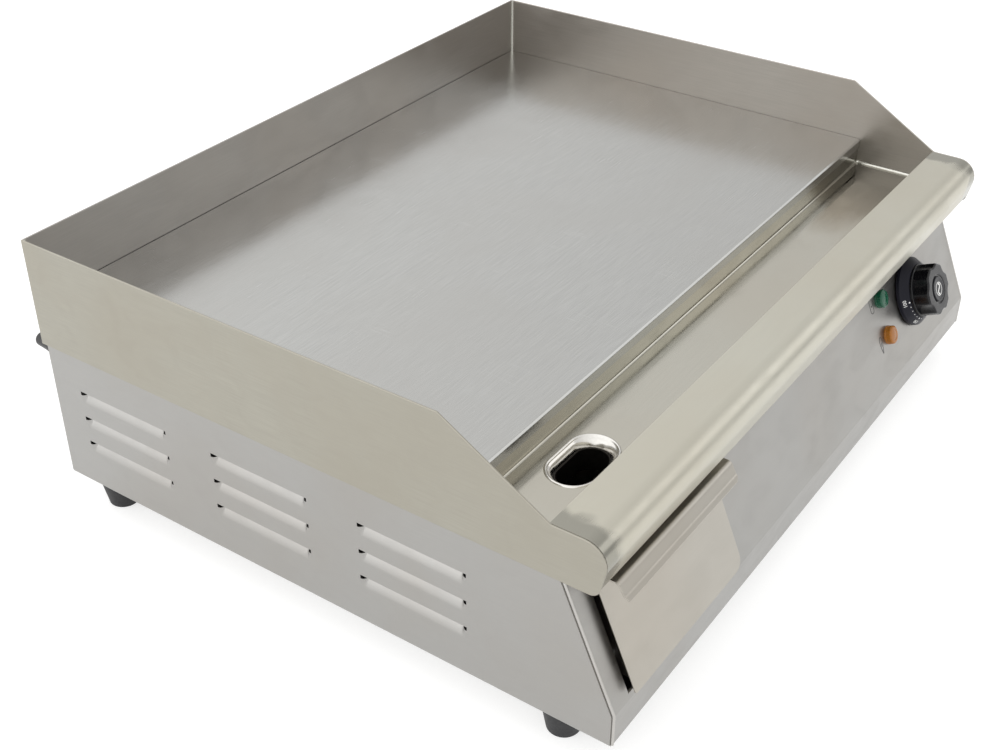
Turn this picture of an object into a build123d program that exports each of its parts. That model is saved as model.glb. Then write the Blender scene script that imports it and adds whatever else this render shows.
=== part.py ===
from build123d import *
import math
import os

os.makedirs("parts", exist_ok=True)

# Countertop electric griddle. Millimetres, +Z up, front towards -Y, +X to the right seen from
# the front. The origin is on the ground at the middle of the overall box.
#
# Places along Y are given as a depth, the distance in front of the splash guard's back face.
# Places along Z are heights above the ground.

# ---------------------------------------------------------------- driving dimensions
WIDTH = 550.0
BACK_FACE_Y = 215.55
SHEET = 1.2
GAP = 0.2

FOOT_HEIGHT = 25.0
FOOT_TOP_R = 15.0
FOOT_BOTTOM_R = 10.5
FOOT_X = 256.0
FOOT_DEPTHS = (31.6, 401.0)

GUARD_TOP = 206.6
GUARD_BOTTOM = 129.1
GUARD_SLOPE_START = 327.7
GUARD_SLOPE_END = 399.6

RAIL_TOP = 164.6
RAIL_BACK = 398.3
RAIL_NOSE_DEPTH = 437.5
RAIL_NOSE_R = 14.0
RAIL_FOOT_DEPTH = 430.9
RAIL_FOOT_HEIGHT = 134.6
RAIL_RETURN = 11.0
RAIL_FOOT_R = 2.5
END_CAP_CORNER_R = 7.0
GUARD_SLOPE_R = 1.5

PLATE_TOP = 160.1
PLATE_THICKNESS = 8.0
PLATE_BACK = 1.6
PLATE_FRONT = 339.8
PLATE_EASE = 1.3

TROUGH_FLOOR = 139.8
TROUGH_BACK = 339.0
DRAIN_X = -190.8
DRAIN_DEPTH = 367.9
DRAIN_RIM = (53.0, 31.0)
DRAIN_THROAT = (44.0, 24.0)
DRAIN_DISH = 5.0
DRAIN_BOTTOM = 119.0
TROUGH_BEND_R = 2.0

BODY_HALF = 273.6
BODY_BOTTOM = FOOT_HEIGHT
BODY_TOP = 150.4
BODY_BACK = 3.9
BAND_DEPTH = 443.5
BEND_HEIGHT = 48.1
PANEL_TOP = 136.6
PANEL_TOP_DEPTH = 404.8
FLANGE = 40.0
REAR_FLANGE = 16.0
GLAND_NOTCH = 13.0
FLANGE_FRONT = BAND_DEPTH - 24.0
NOTCH_BACK = TROUGH_BACK - 2.0
BAND_BENDS = (2.0, 1.5)

LOUVRE_LENGTH = 77.0
LOUVRE_HEIGHT = 9.5
LOUVRE_REACH = 4.4
LOUVRE_ROOT = 1.9
LOUVRE_DEPTHS = (70.0, 188.2, 305.8)
LOUVRE_HEIGHTS = (102.6, 82.4, 62.2)

OPENING_LEFT = -256.5
OPENING_RIGHT = -127.5
OPENING_BOTTOM = 51.1
OPENING_TOP = 122.6

DRAWER_SHEET = 1.0
DRAWER_PROUD = 6.0
DRAWER_LEFT = -257.0
DRAWER_RIGHT = -127.0
DRAWER_FACE_BOTTOM = 54.1
DRAWER_FACE_TOP = 126.3
TRAY_LEFT = -249.0
TRAY_RIGHT = -135.0
TRAY_BACK = 240.0
TRAY_BOTTOM = 54.8
TRAY_TOP = 114.6
DRAWER_CLEARANCE = 0.4
DRAWER_LEFT_CORNER_R = 1.5
DRAWER_RIGHT_CORNER_R = 8.5

KNOB_X = 189.2
KNOB_HEIGHT = 88.6
SKIRT_R = 26.0
GRIP_R = 19.3
KNOB_REACH = 23.0
LAMP_X = 138.5
GREEN_LAMP_HEIGHT = 104.2
AMBER_LAMP_HEIGHT = 77.3
LENS_R = 7.0
LENS_REACH = 5.5

ELEMENT_R = 4.25
ELEMENT_LEGS = (35.0, 89.0, 143.0, 197.0, 251.0, 305.0)
ELEMENT_TURN_X = -245.0
ELEMENT_TERMINAL_X = 233.0
CLAMP_BAR_X = (-150.0, 0.0, 150.0)
CLAMP_STUD_DEPTHS = (62.0, 278.0)

GLAND_X = -259.5
GLAND_HEIGHT = 117.0
CORD_BORE_R = 3.8

# ---------------------------------------------------------------- derived places
GUARD_INNER = WIDTH / 2 - SHEET
BODY_INNER = BODY_HALF - SHEET
PLATE_BOTTOM = PLATE_TOP - PLATE_THICKNESS
PANEL_LEAN = math.atan2(BAND_DEPTH - PANEL_TOP_DEPTH, PANEL_TOP - BEND_HEIGHT)
PANEL_NORMAL = Vector(0, -math.cos(PANEL_LEAN), math.sin(PANEL_LEAN))
BASE_BOTTOM = BODY_BOTTOM + SHEET
BASE_TOP = BASE_BOTTOM + SHEET


def y_at(depth):
    """Y of a place that lies this far in front of the guard's back face."""
    return BACK_FACE_Y - depth


def panel_depth(height, proud=0.0):
    """Depth of the leaning control panel's outer face at a height, plus a distance out of it."""
    fall = (PANEL_TOP - height) * math.tan(PANEL_LEAN)
    return PANEL_TOP_DEPTH + fall + proud / math.cos(PANEL_LEAN)


def on_panel(x, height):
    """Location on the control panel's outer face, with local z pointing out of the panel."""
    origin = (x, y_at(panel_depth(height)), height)
    return Location(Plane(origin=origin, x_dir=(1, 0, 0), z_dir=PANEL_NORMAL))


def block(x, depth, height):
    """Box between two x, two depths and two heights, each given as a (low, high) pair."""
    size = (x[1] - x[0], depth[1] - depth[0], height[1] - height[0])
    centre = (sum(x) / 2, y_at(sum(depth) / 2), sum(height) / 2)
    return Pos(*centre) * Box(*size)


def side_outline(points, radii):
    """Closed side view with rounded corners, from (depth, height) corners, as a face on YZ."""
    corners = [(y_at(depth), height) for depth, height in points]
    outline = Polyline(*corners, close=True)
    face = make_face(outline)
    for (y, z), radius in zip(corners, radii):
        if radius:
            near = face.vertices().sort_by_distance((y, z, 0))[0]
            face = fillet(near, radius)
    return Plane.YZ * face


def bent_sheet(points, radii, thickness, x_low, x_high):
    """Sheet bent along a side-view path of (depth, height) points on its outer face."""
    path = FilletPolyline(*[(y_at(d), h) for d, h in points], radius=radii)
    face = make_face(path.offset_2d(thickness, side=Side.LEFT, closed=True))
    return Pos(x_low, 0, 0) * extrude(Plane.YZ * face, x_high - x_low)


def hole(x, depth, radius, low, high):
    """Vertical round cutter."""
    return Pos(x, y_at(depth), (low + high) / 2) * Cylinder(radius, high - low)


HEAD_ROUNDING = 0.6
CROSS_DEPTH = 0.45
CROSS_LENGTH = 1.1
CROSS_WIDTH = 0.28


def pan_screw(thread_r, length, head_r, head_height):
    """Pan-head screw: shank down from z = 0 and a domed, cross-slotted head above it."""
    shank = Pos(0, 0, -length / 2) * Cylinder(thread_r, length)
    head = Pos(0, 0, head_height / 2) * Cylinder(head_r, head_height)
    head = fillet(head.edges().group_by(Axis.Z)[-1], head_height * HEAD_ROUNDING)
    slot_depth = head_height * CROSS_DEPTH
    slot = Box(head_r * CROSS_LENGTH, head_r * CROSS_WIDTH, slot_depth)
    cross = Pos(0, 0, head_height - slot_depth / 2) * (slot + Rot(0, 0, 90) * slot)
    return shank + head - cross


def hex_nut(across_flats, height, bore_r):
    """Hexagon nut standing on z = 0."""
    outline = RegularPolygon(across_flats / 2, 6, major_radius=False)
    return extrude(outline - Circle(bore_r), height)


def tube(points, radii, radius):
    """Round bar along a path of straight runs and tangent arcs, points as (x, depth, height)."""
    path = FilletPolyline(*[(x, y_at(d), h) for x, d, h in points], radius=radii)
    start = Plane(origin=path @ 0, z_dir=path % 0)
    return sweep(start * Circle(radius), path=path)


def mirrored(part):
    """The same part on the other side of the YZ plane."""
    return mirror(part, about=Plane.YZ)


# ---------------------------------------------------------------- splash guard and rail
def guard_side():
    """Left guard wall: full height behind, sloping down to a rounded end cap on the rail."""
    foot_lean = (RAIL_NOSE_DEPTH - RAIL_FOOT_DEPTH) / (RAIL_TOP - RAIL_FOOT_HEIGHT)
    corner_depth = RAIL_FOOT_DEPTH - foot_lean * (RAIL_FOOT_HEIGHT - GUARD_BOTTOM)
    points = (
        (0, GUARD_TOP),
        (GUARD_SLOPE_START, GUARD_TOP),
        (GUARD_SLOPE_END, RAIL_TOP),
        (RAIL_NOSE_DEPTH, RAIL_TOP),
        (corner_depth, GUARD_BOTTOM),
        (0, GUARD_BOTTOM),
    )
    radii = (0, GUARD_SLOPE_R, 0, RAIL_NOSE_R, END_CAP_CORNER_R, 0)
    wall = extrude(side_outline(points, radii), SHEET)
    return Pos(-WIDTH / 2, 0, 0) * wall


def guard_back():
    """Back guard wall between the two side walls."""
    return block((-GUARD_INNER, GUARD_INNER), (0, SHEET), (GUARD_BOTTOM, GUARD_TOP))


def front_rail():
    """Hand rail: flat top, rounded nose, face leaning back and a return under it."""
    points = (
        (RAIL_BACK, RAIL_TOP),
        (RAIL_NOSE_DEPTH, RAIL_TOP),
        (RAIL_FOOT_DEPTH, RAIL_FOOT_HEIGHT),
        (RAIL_FOOT_DEPTH - RAIL_RETURN, RAIL_FOOT_HEIGHT - SHEET),
    )
    half = GUARD_INNER - GAP
    return bent_sheet(points, (RAIL_NOSE_R, RAIL_FOOT_R), SHEET, -half, half)


# ---------------------------------------------------------------- cooking plate and trough
def griddle_plate():
    """Flat steel cooking plate with eased top edges."""
    half = GUARD_INNER - GAP
    plate = block((-half, half), (PLATE_BACK, PLATE_FRONT), (PLATE_BOTTOM, PLATE_TOP))
    front_top = plate.edges().filter_by(Axis.X).group_by(Axis.Z)[-1].sort_by(Axis.Y)[0]
    return chamfer(front_top, PLATE_EASE)


def drain_section(size, inset=0.0):
    """Rounded slot of the drain, shrunk by an inset on every side."""
    length, width = size
    return SlotOverall(length - 2 * inset, width - 2 * inset)


def grease_trough():
    """Channel in front of the plate, with the drain's slot in its floor."""
    points = (
        (TROUGH_BACK, PLATE_BOTTOM),
        (TROUGH_BACK, TROUGH_FLOOR),
        (RAIL_BACK, TROUGH_FLOOR),
        (RAIL_BACK, RAIL_TOP - SHEET),
    )
    half = GUARD_INNER - GAP
    channel = bent_sheet(points, (TROUGH_BEND_R, TROUGH_BEND_R), SHEET, -half, half)
    slot = extrude(drain_section(DRAIN_RIM), 4 * SHEET, both=True)
    return channel - Pos(DRAIN_X, y_at(DRAIN_DEPTH), TROUGH_FLOOR) * slot


def drain_spout():
    """Pressed dish and rounded-slot tube that drop grease into the drawer."""
    rim_inset = 0.05
    throat_outer = (DRAIN_THROAT[0] + 2 * SHEET, DRAIN_THROAT[1] + 2 * SHEET)
    dish_outer = loft([Pos(0, 0, -DRAIN_DISH) * drain_section(throat_outer),
                       drain_section(DRAIN_RIM, rim_inset)])
    dish_inner = loft([Pos(0, 0, -DRAIN_DISH) * drain_section(DRAIN_THROAT),
                       drain_section(DRAIN_RIM, SHEET + rim_inset)])
    drop = TROUGH_FLOOR - DRAIN_DISH - DRAIN_BOTTOM
    tube_ring = drain_section(throat_outer) - drain_section(DRAIN_THROAT)
    neck = Pos(0, 0, -DRAIN_DISH - drop) * extrude(tube_ring, drop)
    return Pos(DRAIN_X, y_at(DRAIN_DEPTH), TROUGH_FLOOR) * (dish_outer - dish_inner + neck)


# ---------------------------------------------------------------- casing
def louvre(depth, height):
    """Solid and cutter of one louvre: a flap pressed inwards and cut free along its top."""
    low = height - LOUVRE_HEIGHT
    x_out = -BODY_HALF
    flap_in = LOUVRE_REACH

    def wedge(reach, base, grow):
        """Wedge whose sloping face starts at the panel's face and ends at this reach."""
        points = ((x_out, base), (x_out, height), (x_out + reach, height))
        face = Plane.XZ * make_face(Polyline(*points, close=True))
        length = LOUVRE_LENGTH + 2 * grow
        return Pos(0, y_at(depth) + length / 2, 0) * extrude(face, length)

    pocket = wedge(flap_in, low, 0)
    shell = wedge(flap_in + SHEET, low - LOUVRE_ROOT, SHEET)
    return shell, pocket


def side_panel():
    """Left casing side: louvred wall with a wide foot flange and a rear flange."""
    points = (
        (BODY_BACK + SHEET, BODY_BOTTOM),
        (BAND_DEPTH - SHEET, BODY_BOTTOM),
        (BAND_DEPTH - SHEET, BEND_HEIGHT),
        (panel_depth(PANEL_TOP, -SHEET), PANEL_TOP),
        (NOTCH_BACK, PANEL_TOP),
        (NOTCH_BACK, BODY_TOP),
        (BODY_BACK + SHEET, BODY_TOP),
    )
    face = side_outline(points, (0,) * len(points))
    wall = Pos(-BODY_HALF, 0, 0) * extrude(face, SHEET)
    flange_x = (-BODY_HALF, -BODY_HALF + FLANGE)
    wall += block(flange_x, (BODY_BACK + SHEET, FLANGE_FRONT), (BODY_BOTTOM, BASE_BOTTOM))
    rear_x = (-BODY_HALF, -BODY_HALF + REAR_FLANGE)
    rear_depth = (BODY_BACK + SHEET, BODY_BACK + 2 * SHEET)
    wall += block(rear_x, rear_depth, (BODY_BOTTOM, BODY_TOP))
    notch_height = (GLAND_HEIGHT - GLAND_NOTCH, GLAND_HEIGHT + GLAND_NOTCH)
    wall -= block((-BODY_INNER, 0), rear_depth, notch_height)
    for depth in LOUVRE_DEPTHS:
        for height in LOUVRE_HEIGHTS:
            shell, pocket = louvre(depth, height)
            wall = wall + shell - pocket
    for depth in FOOT_DEPTHS:
        wall -= hole(-FOOT_X, depth, FOOT_SCREW_R, BODY_BOTTOM - 1, BASE_TOP)
    for x, height in BACK_SCREWS:
        if x < 0:
            wall -= back_screw_hole(x, height)
    for x, depth in BASE_SCREWS:
        if x < 0 and depth < FLANGE_FRONT:
            wall -= hole(x, depth, BASE_SCREW_R, BODY_BOTTOM - 1, BASE_TOP)
    return wall


def back_screw_hole(x, height):
    """Hole along Y for a back panel screw."""
    cutter = Rot(90, 0, 0) * Cylinder(BACK_SCREW_R, 6 * SHEET)
    return Pos(x, y_at(BODY_BACK + SHEET), height) * cutter


def gland_hole():
    """Hole along Y where the cable gland passes through the back panel."""
    cutter = Rot(90, 0, 0) * Cylinder(GLAND_THREAD_R, 8 * SHEET)
    return Pos(GLAND_X, y_at(BODY_BACK + SHEET), GLAND_HEIGHT) * cutter


def back_panel():
    """Flat back cover with screw holes and the gland's hole."""
    panel = block((-BODY_HALF, BODY_HALF), (BODY_BACK, BODY_BACK + SHEET), (BODY_BOTTOM, BODY_TOP))
    for x, height in BACK_SCREWS:
        panel -= back_screw_hole(x, height)
    return panel - gland_hole()


def front_panel():
    """Leaning control panel and upright lower band, with the drawer's opening."""
    points = (
        (PANEL_TOP_DEPTH, PANEL_TOP),
        (BAND_DEPTH, BEND_HEIGHT),
        (BAND_DEPTH, BODY_BOTTOM),
        (BAND_DEPTH - REAR_FLANGE, BODY_BOTTOM),
    )
    panel = bent_sheet(points, BAND_BENDS, SHEET, -BODY_HALF, BODY_HALF)
    opening = block(
        (OPENING_LEFT, OPENING_RIGHT),
        (PANEL_TOP_DEPTH - 10, BAND_DEPTH + 10),
        (OPENING_BOTTOM, OPENING_TOP),
    )
    panel -= opening
    panel -= on_panel(KNOB_X, KNOB_HEIGHT) * Cylinder(SHAFT_HOLE_R, 6 * SHEET)
    for side in (-1, 1):
        offset = Pos(side * THERMOSTAT_SCREW_X, 0, 0)
        panel -= on_panel(KNOB_X, KNOB_HEIGHT) * offset * Cylinder(THERMOSTAT_SCREW_R, 6 * SHEET)
    for height in (GREEN_LAMP_HEIGHT, AMBER_LAMP_HEIGHT):
        panel -= on_panel(LAMP_X, height) * Cylinder(LAMP_BODY_R, 6 * SHEET)
    for x, depth in BASE_SCREWS:
        if depth > BAND_DEPTH - REAR_FLANGE:
            panel -= hole(x, depth, BASE_SCREW_R, BODY_BOTTOM - 1, BASE_TOP)
    flange_depth = (BAND_DEPTH - 2 * REAR_FLANGE, BAND_DEPTH - SHEET)
    flange_height = (BODY_BOTTOM - 1, BASE_TOP)
    for end in ((-BODY_HALF - 1, -BODY_INNER), (BODY_INNER, BODY_HALF + 1)):
        panel -= block(end, flange_depth, flange_height)
    return panel


def base_plate():
    """Bottom cover lying on the side and front flanges."""
    plate = block(
        (-BODY_INNER + GAP, BODY_INNER - GAP),
        (BODY_BACK + 2 * SHEET + GAP, BAND_DEPTH - 2 * SHEET),
        (BASE_BOTTOM, BASE_TOP),
    )
    for x in (-FOOT_X, FOOT_X):
        for depth in FOOT_DEPTHS:
            plate -= hole(x, depth, FOOT_SCREW_R, BASE_BOTTOM - 1, BASE_TOP + 1)
    for x, depth in BASE_SCREWS:
        plate -= hole(x, depth, BASE_SCREW_R, BASE_BOTTOM - 1, BASE_TOP + 1)
    return plate


# ---------------------------------------------------------------- fasteners of the casing
FOOT_SCREW_R = 2.5
FOOT_RECESS_R = 7.0
FOOT_RECESS_DEPTH = 14.0
BACK_SCREW_R = 2.0
BASE_SCREW_R = 2.0
FOOT_EDGE_R = 1.2
FOOT_SCREW_ABOVE = 8.0
FOOT_SCREW_HEAD = (4.6, 3.2)
FOOT_NUT = (8.0, 4.0)
BACK_SCREW_LENGTH = 7.0
BASE_SCREW_LENGTH = 6.0
SHEET_SCREW_HEAD = (3.8, 2.2)
BACK_SCREWS = tuple(
    (side * (BODY_HALF - REAR_FLANGE / 2), height)
    for side in (-1, 1)
    for height in (40.0, 88.0)
)
BASE_SCREWS = (
    (-246.0, 130.0),
    (246.0, 130.0),
    (-246.0, 300.0),
    (246.0, 300.0),
    (-60.0, BAND_DEPTH - 9.0),
    (60.0, BAND_DEPTH - 9.0),
)


def foot(x, depth):
    """Tapered rubber foot with a recess that hides its screw's head."""
    body = Cone(FOOT_BOTTOM_R, FOOT_TOP_R, FOOT_HEIGHT)
    body = fillet(body.edges().group_by(Axis.Z)[0], FOOT_EDGE_R)
    recess = Pos(0, 0, (FOOT_RECESS_DEPTH - FOOT_HEIGHT) / 2)
    body -= recess * Cylinder(FOOT_RECESS_R, FOOT_RECESS_DEPTH)
    body -= Cylinder(FOOT_SCREW_R, 2 * FOOT_HEIGHT)
    return Pos(x, y_at(depth), FOOT_HEIGHT / 2) * body


def foot_places():
    """The four feet's names with their x and depth."""
    for end, depth in zip(("rear", "front"), FOOT_DEPTHS):
        for side, x in (("left", -FOOT_X), ("right", FOOT_X)):
            yield f"foot_{end}_{side}", x, depth


def foot_screws():
    """Screws up through the feet, heads down in the recesses."""
    length = BASE_TOP + FOOT_SCREW_ABOVE - FOOT_RECESS_DEPTH
    screw = Rot(180, 0, 0) * pan_screw(FOOT_SCREW_R, length, *FOOT_SCREW_HEAD)
    places = [Pos(x, y_at(depth), FOOT_RECESS_DEPTH) for _, x, depth in foot_places()]
    return Compound([place * screw for place in places])


def foot_nuts():
    """Nuts on the base plate that hold the feet's screws."""
    nut = hex_nut(*FOOT_NUT, FOOT_SCREW_R)
    return Compound([Pos(x, y_at(depth), BASE_TOP) * nut for _, x, depth in foot_places()])


def back_panel_screws():
    """Screws that hold the back cover to the side panels' rear flanges."""
    screw = Rot(-90, 0, 0) * pan_screw(BACK_SCREW_R, BACK_SCREW_LENGTH, *SHEET_SCREW_HEAD)
    places = [Pos(x, y_at(BODY_BACK), height) for x, height in BACK_SCREWS]
    return Compound([place * screw for place in places])


def base_plate_screws():
    """Screws from below that hold the base plate to the casing's flanges."""
    screw = Rot(180, 0, 0) * pan_screw(BASE_SCREW_R, BASE_SCREW_LENGTH, *SHEET_SCREW_HEAD)
    return Compound([Pos(x, y_at(d), BODY_BOTTOM) * screw for x, d in BASE_SCREWS])


# ---------------------------------------------------------------- grease drawer
PULL_POINTS = ((413.6, 127.4), (431.8, 127.4), (436.2, 120.0), (439.6, 118.7))
PULL_BENDS = (4.0, 3.0)
PULL_CORNER_R = 6.0
PULL_PLAN = 40.0
RUNNER_DEPTHS = (TRAY_BACK - 14.0, 428.0)
RUNNER_FOOT_FRONT = FOOT_DEPTHS[1] - 15.0
RUNNER_TOP = TRAY_BOTTOM + 16.0
RUNNER_LEDGE = 11.0
RUNNER_FOOT = 12.0


def drawer_face():
    """Front sheet of the drawer, parallel to the control panel and a little proud of it."""
    rise = DRAWER_PROUD * math.sin(PANEL_LEAN)
    mid_height = (DRAWER_FACE_BOTTOM + DRAWER_FACE_TOP) / 2 - rise
    width = DRAWER_RIGHT - DRAWER_LEFT
    length = (DRAWER_FACE_TOP - DRAWER_FACE_BOTTOM) / math.cos(PANEL_LEAN)
    outline = Rectangle(width, length)
    for radius, end in ((DRAWER_LEFT_CORNER_R, 0), (DRAWER_RIGHT_CORNER_R, -1)):
        corner = outline.vertices().group_by(Axis.Y)[0].sort_by(Axis.X)[end]
        outline = fillet(corner, radius)
    sheet = Pos(0, 0, DRAWER_PROUD - DRAWER_SHEET) * extrude(outline, DRAWER_SHEET)
    return on_panel((DRAWER_LEFT + DRAWER_RIGHT) / 2, mid_height) * sheet


def drawer_pull():
    """Finger pull along the drawer face's top: a ledge that curls down and flares out."""
    strip = bent_sheet(PULL_POINTS, PULL_BENDS, DRAWER_SHEET, DRAWER_LEFT, DRAWER_RIGHT)
    middle = y_at(PULL_POINTS[-1][0] + DRAWER_SHEET) + PULL_PLAN / 2
    outline = Rectangle(DRAWER_RIGHT - DRAWER_LEFT, PULL_PLAN)
    plan = Pos((DRAWER_LEFT + DRAWER_RIGHT) / 2, middle, 0) * outline
    corner = plan.vertices().group_by(Axis.Y)[0].sort_by(Axis.X)[-1]
    plan = fillet(corner, PULL_CORNER_R)
    return strip & extrude(plan, GUARD_TOP)


def drawer_tray():
    """Open sheet box behind the drawer face, its front wall leaning with the panel."""
    front = DRAWER_PROUD - DRAWER_SHEET
    outer = (
        (TRAY_BACK, TRAY_BOTTOM),
        (panel_depth(TRAY_BOTTOM, front), TRAY_BOTTOM),
        (panel_depth(TRAY_TOP, front), TRAY_TOP),
        (TRAY_BACK, TRAY_TOP),
    )
    floor = TRAY_BOTTOM + DRAWER_SHEET
    above = TRAY_TOP + DRAWER_SHEET
    inner = (
        (TRAY_BACK + DRAWER_SHEET, floor),
        (panel_depth(floor, front - DRAWER_SHEET), floor),
        (panel_depth(above, front - DRAWER_SHEET), above),
        (TRAY_BACK + DRAWER_SHEET, above),
    )
    width = TRAY_RIGHT - TRAY_LEFT
    shell = Pos(TRAY_LEFT, 0, 0) * extrude(side_outline(outer, (0,) * 4), width)
    space = extrude(side_outline(inner, (0,) * 4), width - 2 * DRAWER_SHEET)
    return shell - Pos(TRAY_LEFT + DRAWER_SHEET, 0, 0) * space


def drawer_runner(side):
    """Angle on the base plate that carries and guides one side of the tray, with a rear stop."""
    edge = TRAY_LEFT if side < 0 else TRAY_RIGHT
    web_in = edge + side * DRAWER_CLEARANCE
    ledge_top = TRAY_BOTTOM - DRAWER_CLEARANCE

    def span(near, far):
        """Two x places given outwards from the tray, low one first."""
        return tuple(sorted((web_in + side * near, web_in + side * far)))

    runner = block(span(0, SHEET), RUNNER_DEPTHS, (BASE_TOP, RUNNER_TOP))
    runner += block(span(-RUNNER_LEDGE, 0), RUNNER_DEPTHS, (ledge_top - SHEET, ledge_top))
    foot_depth = (RUNNER_DEPTHS[0], RUNNER_FOOT_FRONT)
    runner += block(span(0, RUNNER_FOOT), foot_depth, (BASE_TOP, BASE_TOP + SHEET))
    stop_depth = (TRAY_BACK - DRAWER_CLEARANCE - SHEET, TRAY_BACK - DRAWER_CLEARANCE)
    return runner + block(span(-RUNNER_LEDGE, 0), stop_depth, (ledge_top, RUNNER_TOP))


# ---------------------------------------------------------------- knob and thermostat
SHAFT_R = 3.0
SHAFT_HOLE_R = 4.0
SHAFT_BORE_R = 3.05
THERMOSTAT_SCREW_R = 2.0
THERMOSTAT_SCREW_X = 14.0
THERMOSTAT_SIZE = (38.0, 38.0, 26.0)
THERMOSTAT_PLATE = 1.5
THERMOSTAT_PLATE_HEIGHT = 22.8
THERMOSTAT_CASE_WIDTH = 34.2
THERMOSTAT_CORNER_R = 2.0
THERMOSTAT_SCREW_LENGTH = 7.0
THERMOSTAT_SCREW_HEAD = (3.6, 2.0)
BEARING_BEYOND_SHAFT = 0.5
SKIRT_LIFT = 0.8
SKIRT_RIM = 3.4
SKIRT_TOP = 9.0
SKIRT_TOP_R = 20.8
SKIRT_RIM_WALL = 2.0
SKIRT_WALL = 3.0
GRIP_STEP = 0.6
GRIP_EDGE_R = 1.4
GRIP_FACE = 5.0
FLUTE_R = 11.0
FLUTE_DEPTH = 2.0
GRIP_BASE = 11.0
GRIP_FLUTES = 6
CAP_R = 9.5
CAP_GAP = 0.1
CAP_RECESS = 1.6
CAP_THICKNESS = 2.0
CAP_EDGE_R = 0.5
SHAFT_INSIDE = 10.0


def knob_skirt():
    """Dial skirt: a rim, then a cone up to the grip, hollow behind."""
    profile = Polyline(
        (SHAFT_R + GAP, SKIRT_TOP),
        (SKIRT_TOP_R, SKIRT_TOP),
        (SKIRT_R, SKIRT_RIM),
        (SKIRT_R, SKIRT_LIFT),
        (SKIRT_R - SKIRT_RIM_WALL, SKIRT_LIFT),
        (SKIRT_TOP_R - SKIRT_WALL, SKIRT_TOP - SKIRT_WALL),
        (SHAFT_R + GAP, SKIRT_TOP - SKIRT_WALL),
        close=True,
    )
    skirt = revolve(Plane.XZ * make_face(profile), Axis.Z)
    return on_panel(KNOB_X, KNOB_HEIGHT) * skirt


def knob_grip():
    """Fluted grip on a short round base, with a shaft bore and a recess for its cap."""
    base_r = SKIRT_TOP_R - GRIP_STEP
    base = Pos(0, 0, (SKIRT_TOP + GRIP_BASE) / 2) * Cylinder(base_r, GRIP_BASE - SKIRT_TOP)
    length = KNOB_REACH - GRIP_BASE
    middle = GRIP_BASE + length / 2
    grip = Pos(0, 0, middle) * Cylinder(GRIP_R, length)
    grip = fillet(grip.edges().group_by(Axis.Z)[-1], GRIP_EDGE_R)
    flute_out = GRIP_R + FLUTE_R - FLUTE_DEPTH
    for flute in range(GRIP_FLUTES):
        angle = 2 * math.pi * (flute + 0.5) / GRIP_FLUTES
        place = (flute_out * math.cos(angle), flute_out * math.sin(angle), middle)
        grip -= Pos(*place) * Cylinder(FLUTE_R, length)
    grip += base
    bore_depth = KNOB_REACH - SKIRT_TOP - GRIP_FACE
    grip -= Pos(0, 0, SKIRT_TOP + bore_depth / 2) * Cylinder(SHAFT_R, bore_depth)
    grip -= Pos(0, 0, KNOB_REACH - CAP_RECESS / 2) * Cylinder(CAP_R + CAP_GAP, CAP_RECESS)
    return on_panel(KNOB_X, KNOB_HEIGHT) * grip


def knob_cap():
    """Round trim disc let into the grip's face."""
    middle = KNOB_REACH - CAP_RECESS + CAP_THICKNESS / 2
    disc = Pos(0, 0, middle) * Cylinder(CAP_R, CAP_THICKNESS)
    disc = fillet(disc.edges().group_by(Axis.Z)[-1], CAP_EDGE_R)
    return on_panel(KNOB_X, KNOB_HEIGHT) * disc


def thermostat_shaft():
    """Spindle that the knob turns, from inside the thermostat to inside the grip."""
    low = -THERMOSTAT_PLATE - SHEET - SHAFT_INSIDE
    high = KNOB_REACH - GRIP_FACE
    shaft = Pos(0, 0, (low + high) / 2) * Cylinder(SHAFT_R, high - low)
    return on_panel(KNOB_X, KNOB_HEIGHT) * shaft


def thermostat_body():
    """Thermostat case behind the panel, with its mounting plate and the shaft's bearing."""
    width, height, depth = THERMOSTAT_SIZE
    plate = Box(width, THERMOSTAT_PLATE_HEIGHT, THERMOSTAT_PLATE)
    case = Box(THERMOSTAT_CASE_WIDTH, height, depth)
    case = fillet(case.edges().filter_by(Axis.Z), THERMOSTAT_CORNER_R)
    body = Pos(0, 0, -SHEET - THERMOSTAT_PLATE / 2) * plate
    body += Pos(0, 0, -SHEET - THERMOSTAT_PLATE - depth / 2) * case
    bore_depth = THERMOSTAT_PLATE + SHAFT_INSIDE + BEARING_BEYOND_SHAFT
    body -= Pos(0, 0, -SHEET - bore_depth / 2) * Cylinder(SHAFT_BORE_R, bore_depth)
    for side in (-1, 1):
        screw_hole = Cylinder(THERMOSTAT_SCREW_R, 2 * THERMOSTAT_SCREW_LENGTH)
        body -= Pos(side * THERMOSTAT_SCREW_X, 0, 0) * screw_hole
    return on_panel(KNOB_X, KNOB_HEIGHT) * body


def thermostat_screws():
    """Two screws under the knob's skirt that hold the thermostat to the panel."""
    screw = pan_screw(THERMOSTAT_SCREW_R, THERMOSTAT_SCREW_LENGTH, *THERMOSTAT_SCREW_HEAD)
    places = [Pos(side * THERMOSTAT_SCREW_X, 0, 0) for side in (-1, 1)]
    return on_panel(KNOB_X, KNOB_HEIGHT) * Compound([place * screw for place in places])


# ---------------------------------------------------------------- indicator lamps
LAMP_BODY_R = 4.9
LAMP_BODY_LENGTH = 22.0
LAMP_NUT_R = 7.4
LAMP_NUT_HEIGHT = 3.5
LAMP_BLADE = (0.8, 3.0, 8.0)
LAMP_BLADE_X = 2.2
LENS_DOME_R = 3.6


def lamp_lens(height):
    """Clear domed lens on the panel."""
    lens = Pos(0, 0, LENS_REACH / 2) * Cylinder(LENS_R, LENS_REACH)
    lens = fillet(lens.edges().group_by(Axis.Z)[-1], LENS_DOME_R)
    return on_panel(LAMP_X, height) * lens


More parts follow.
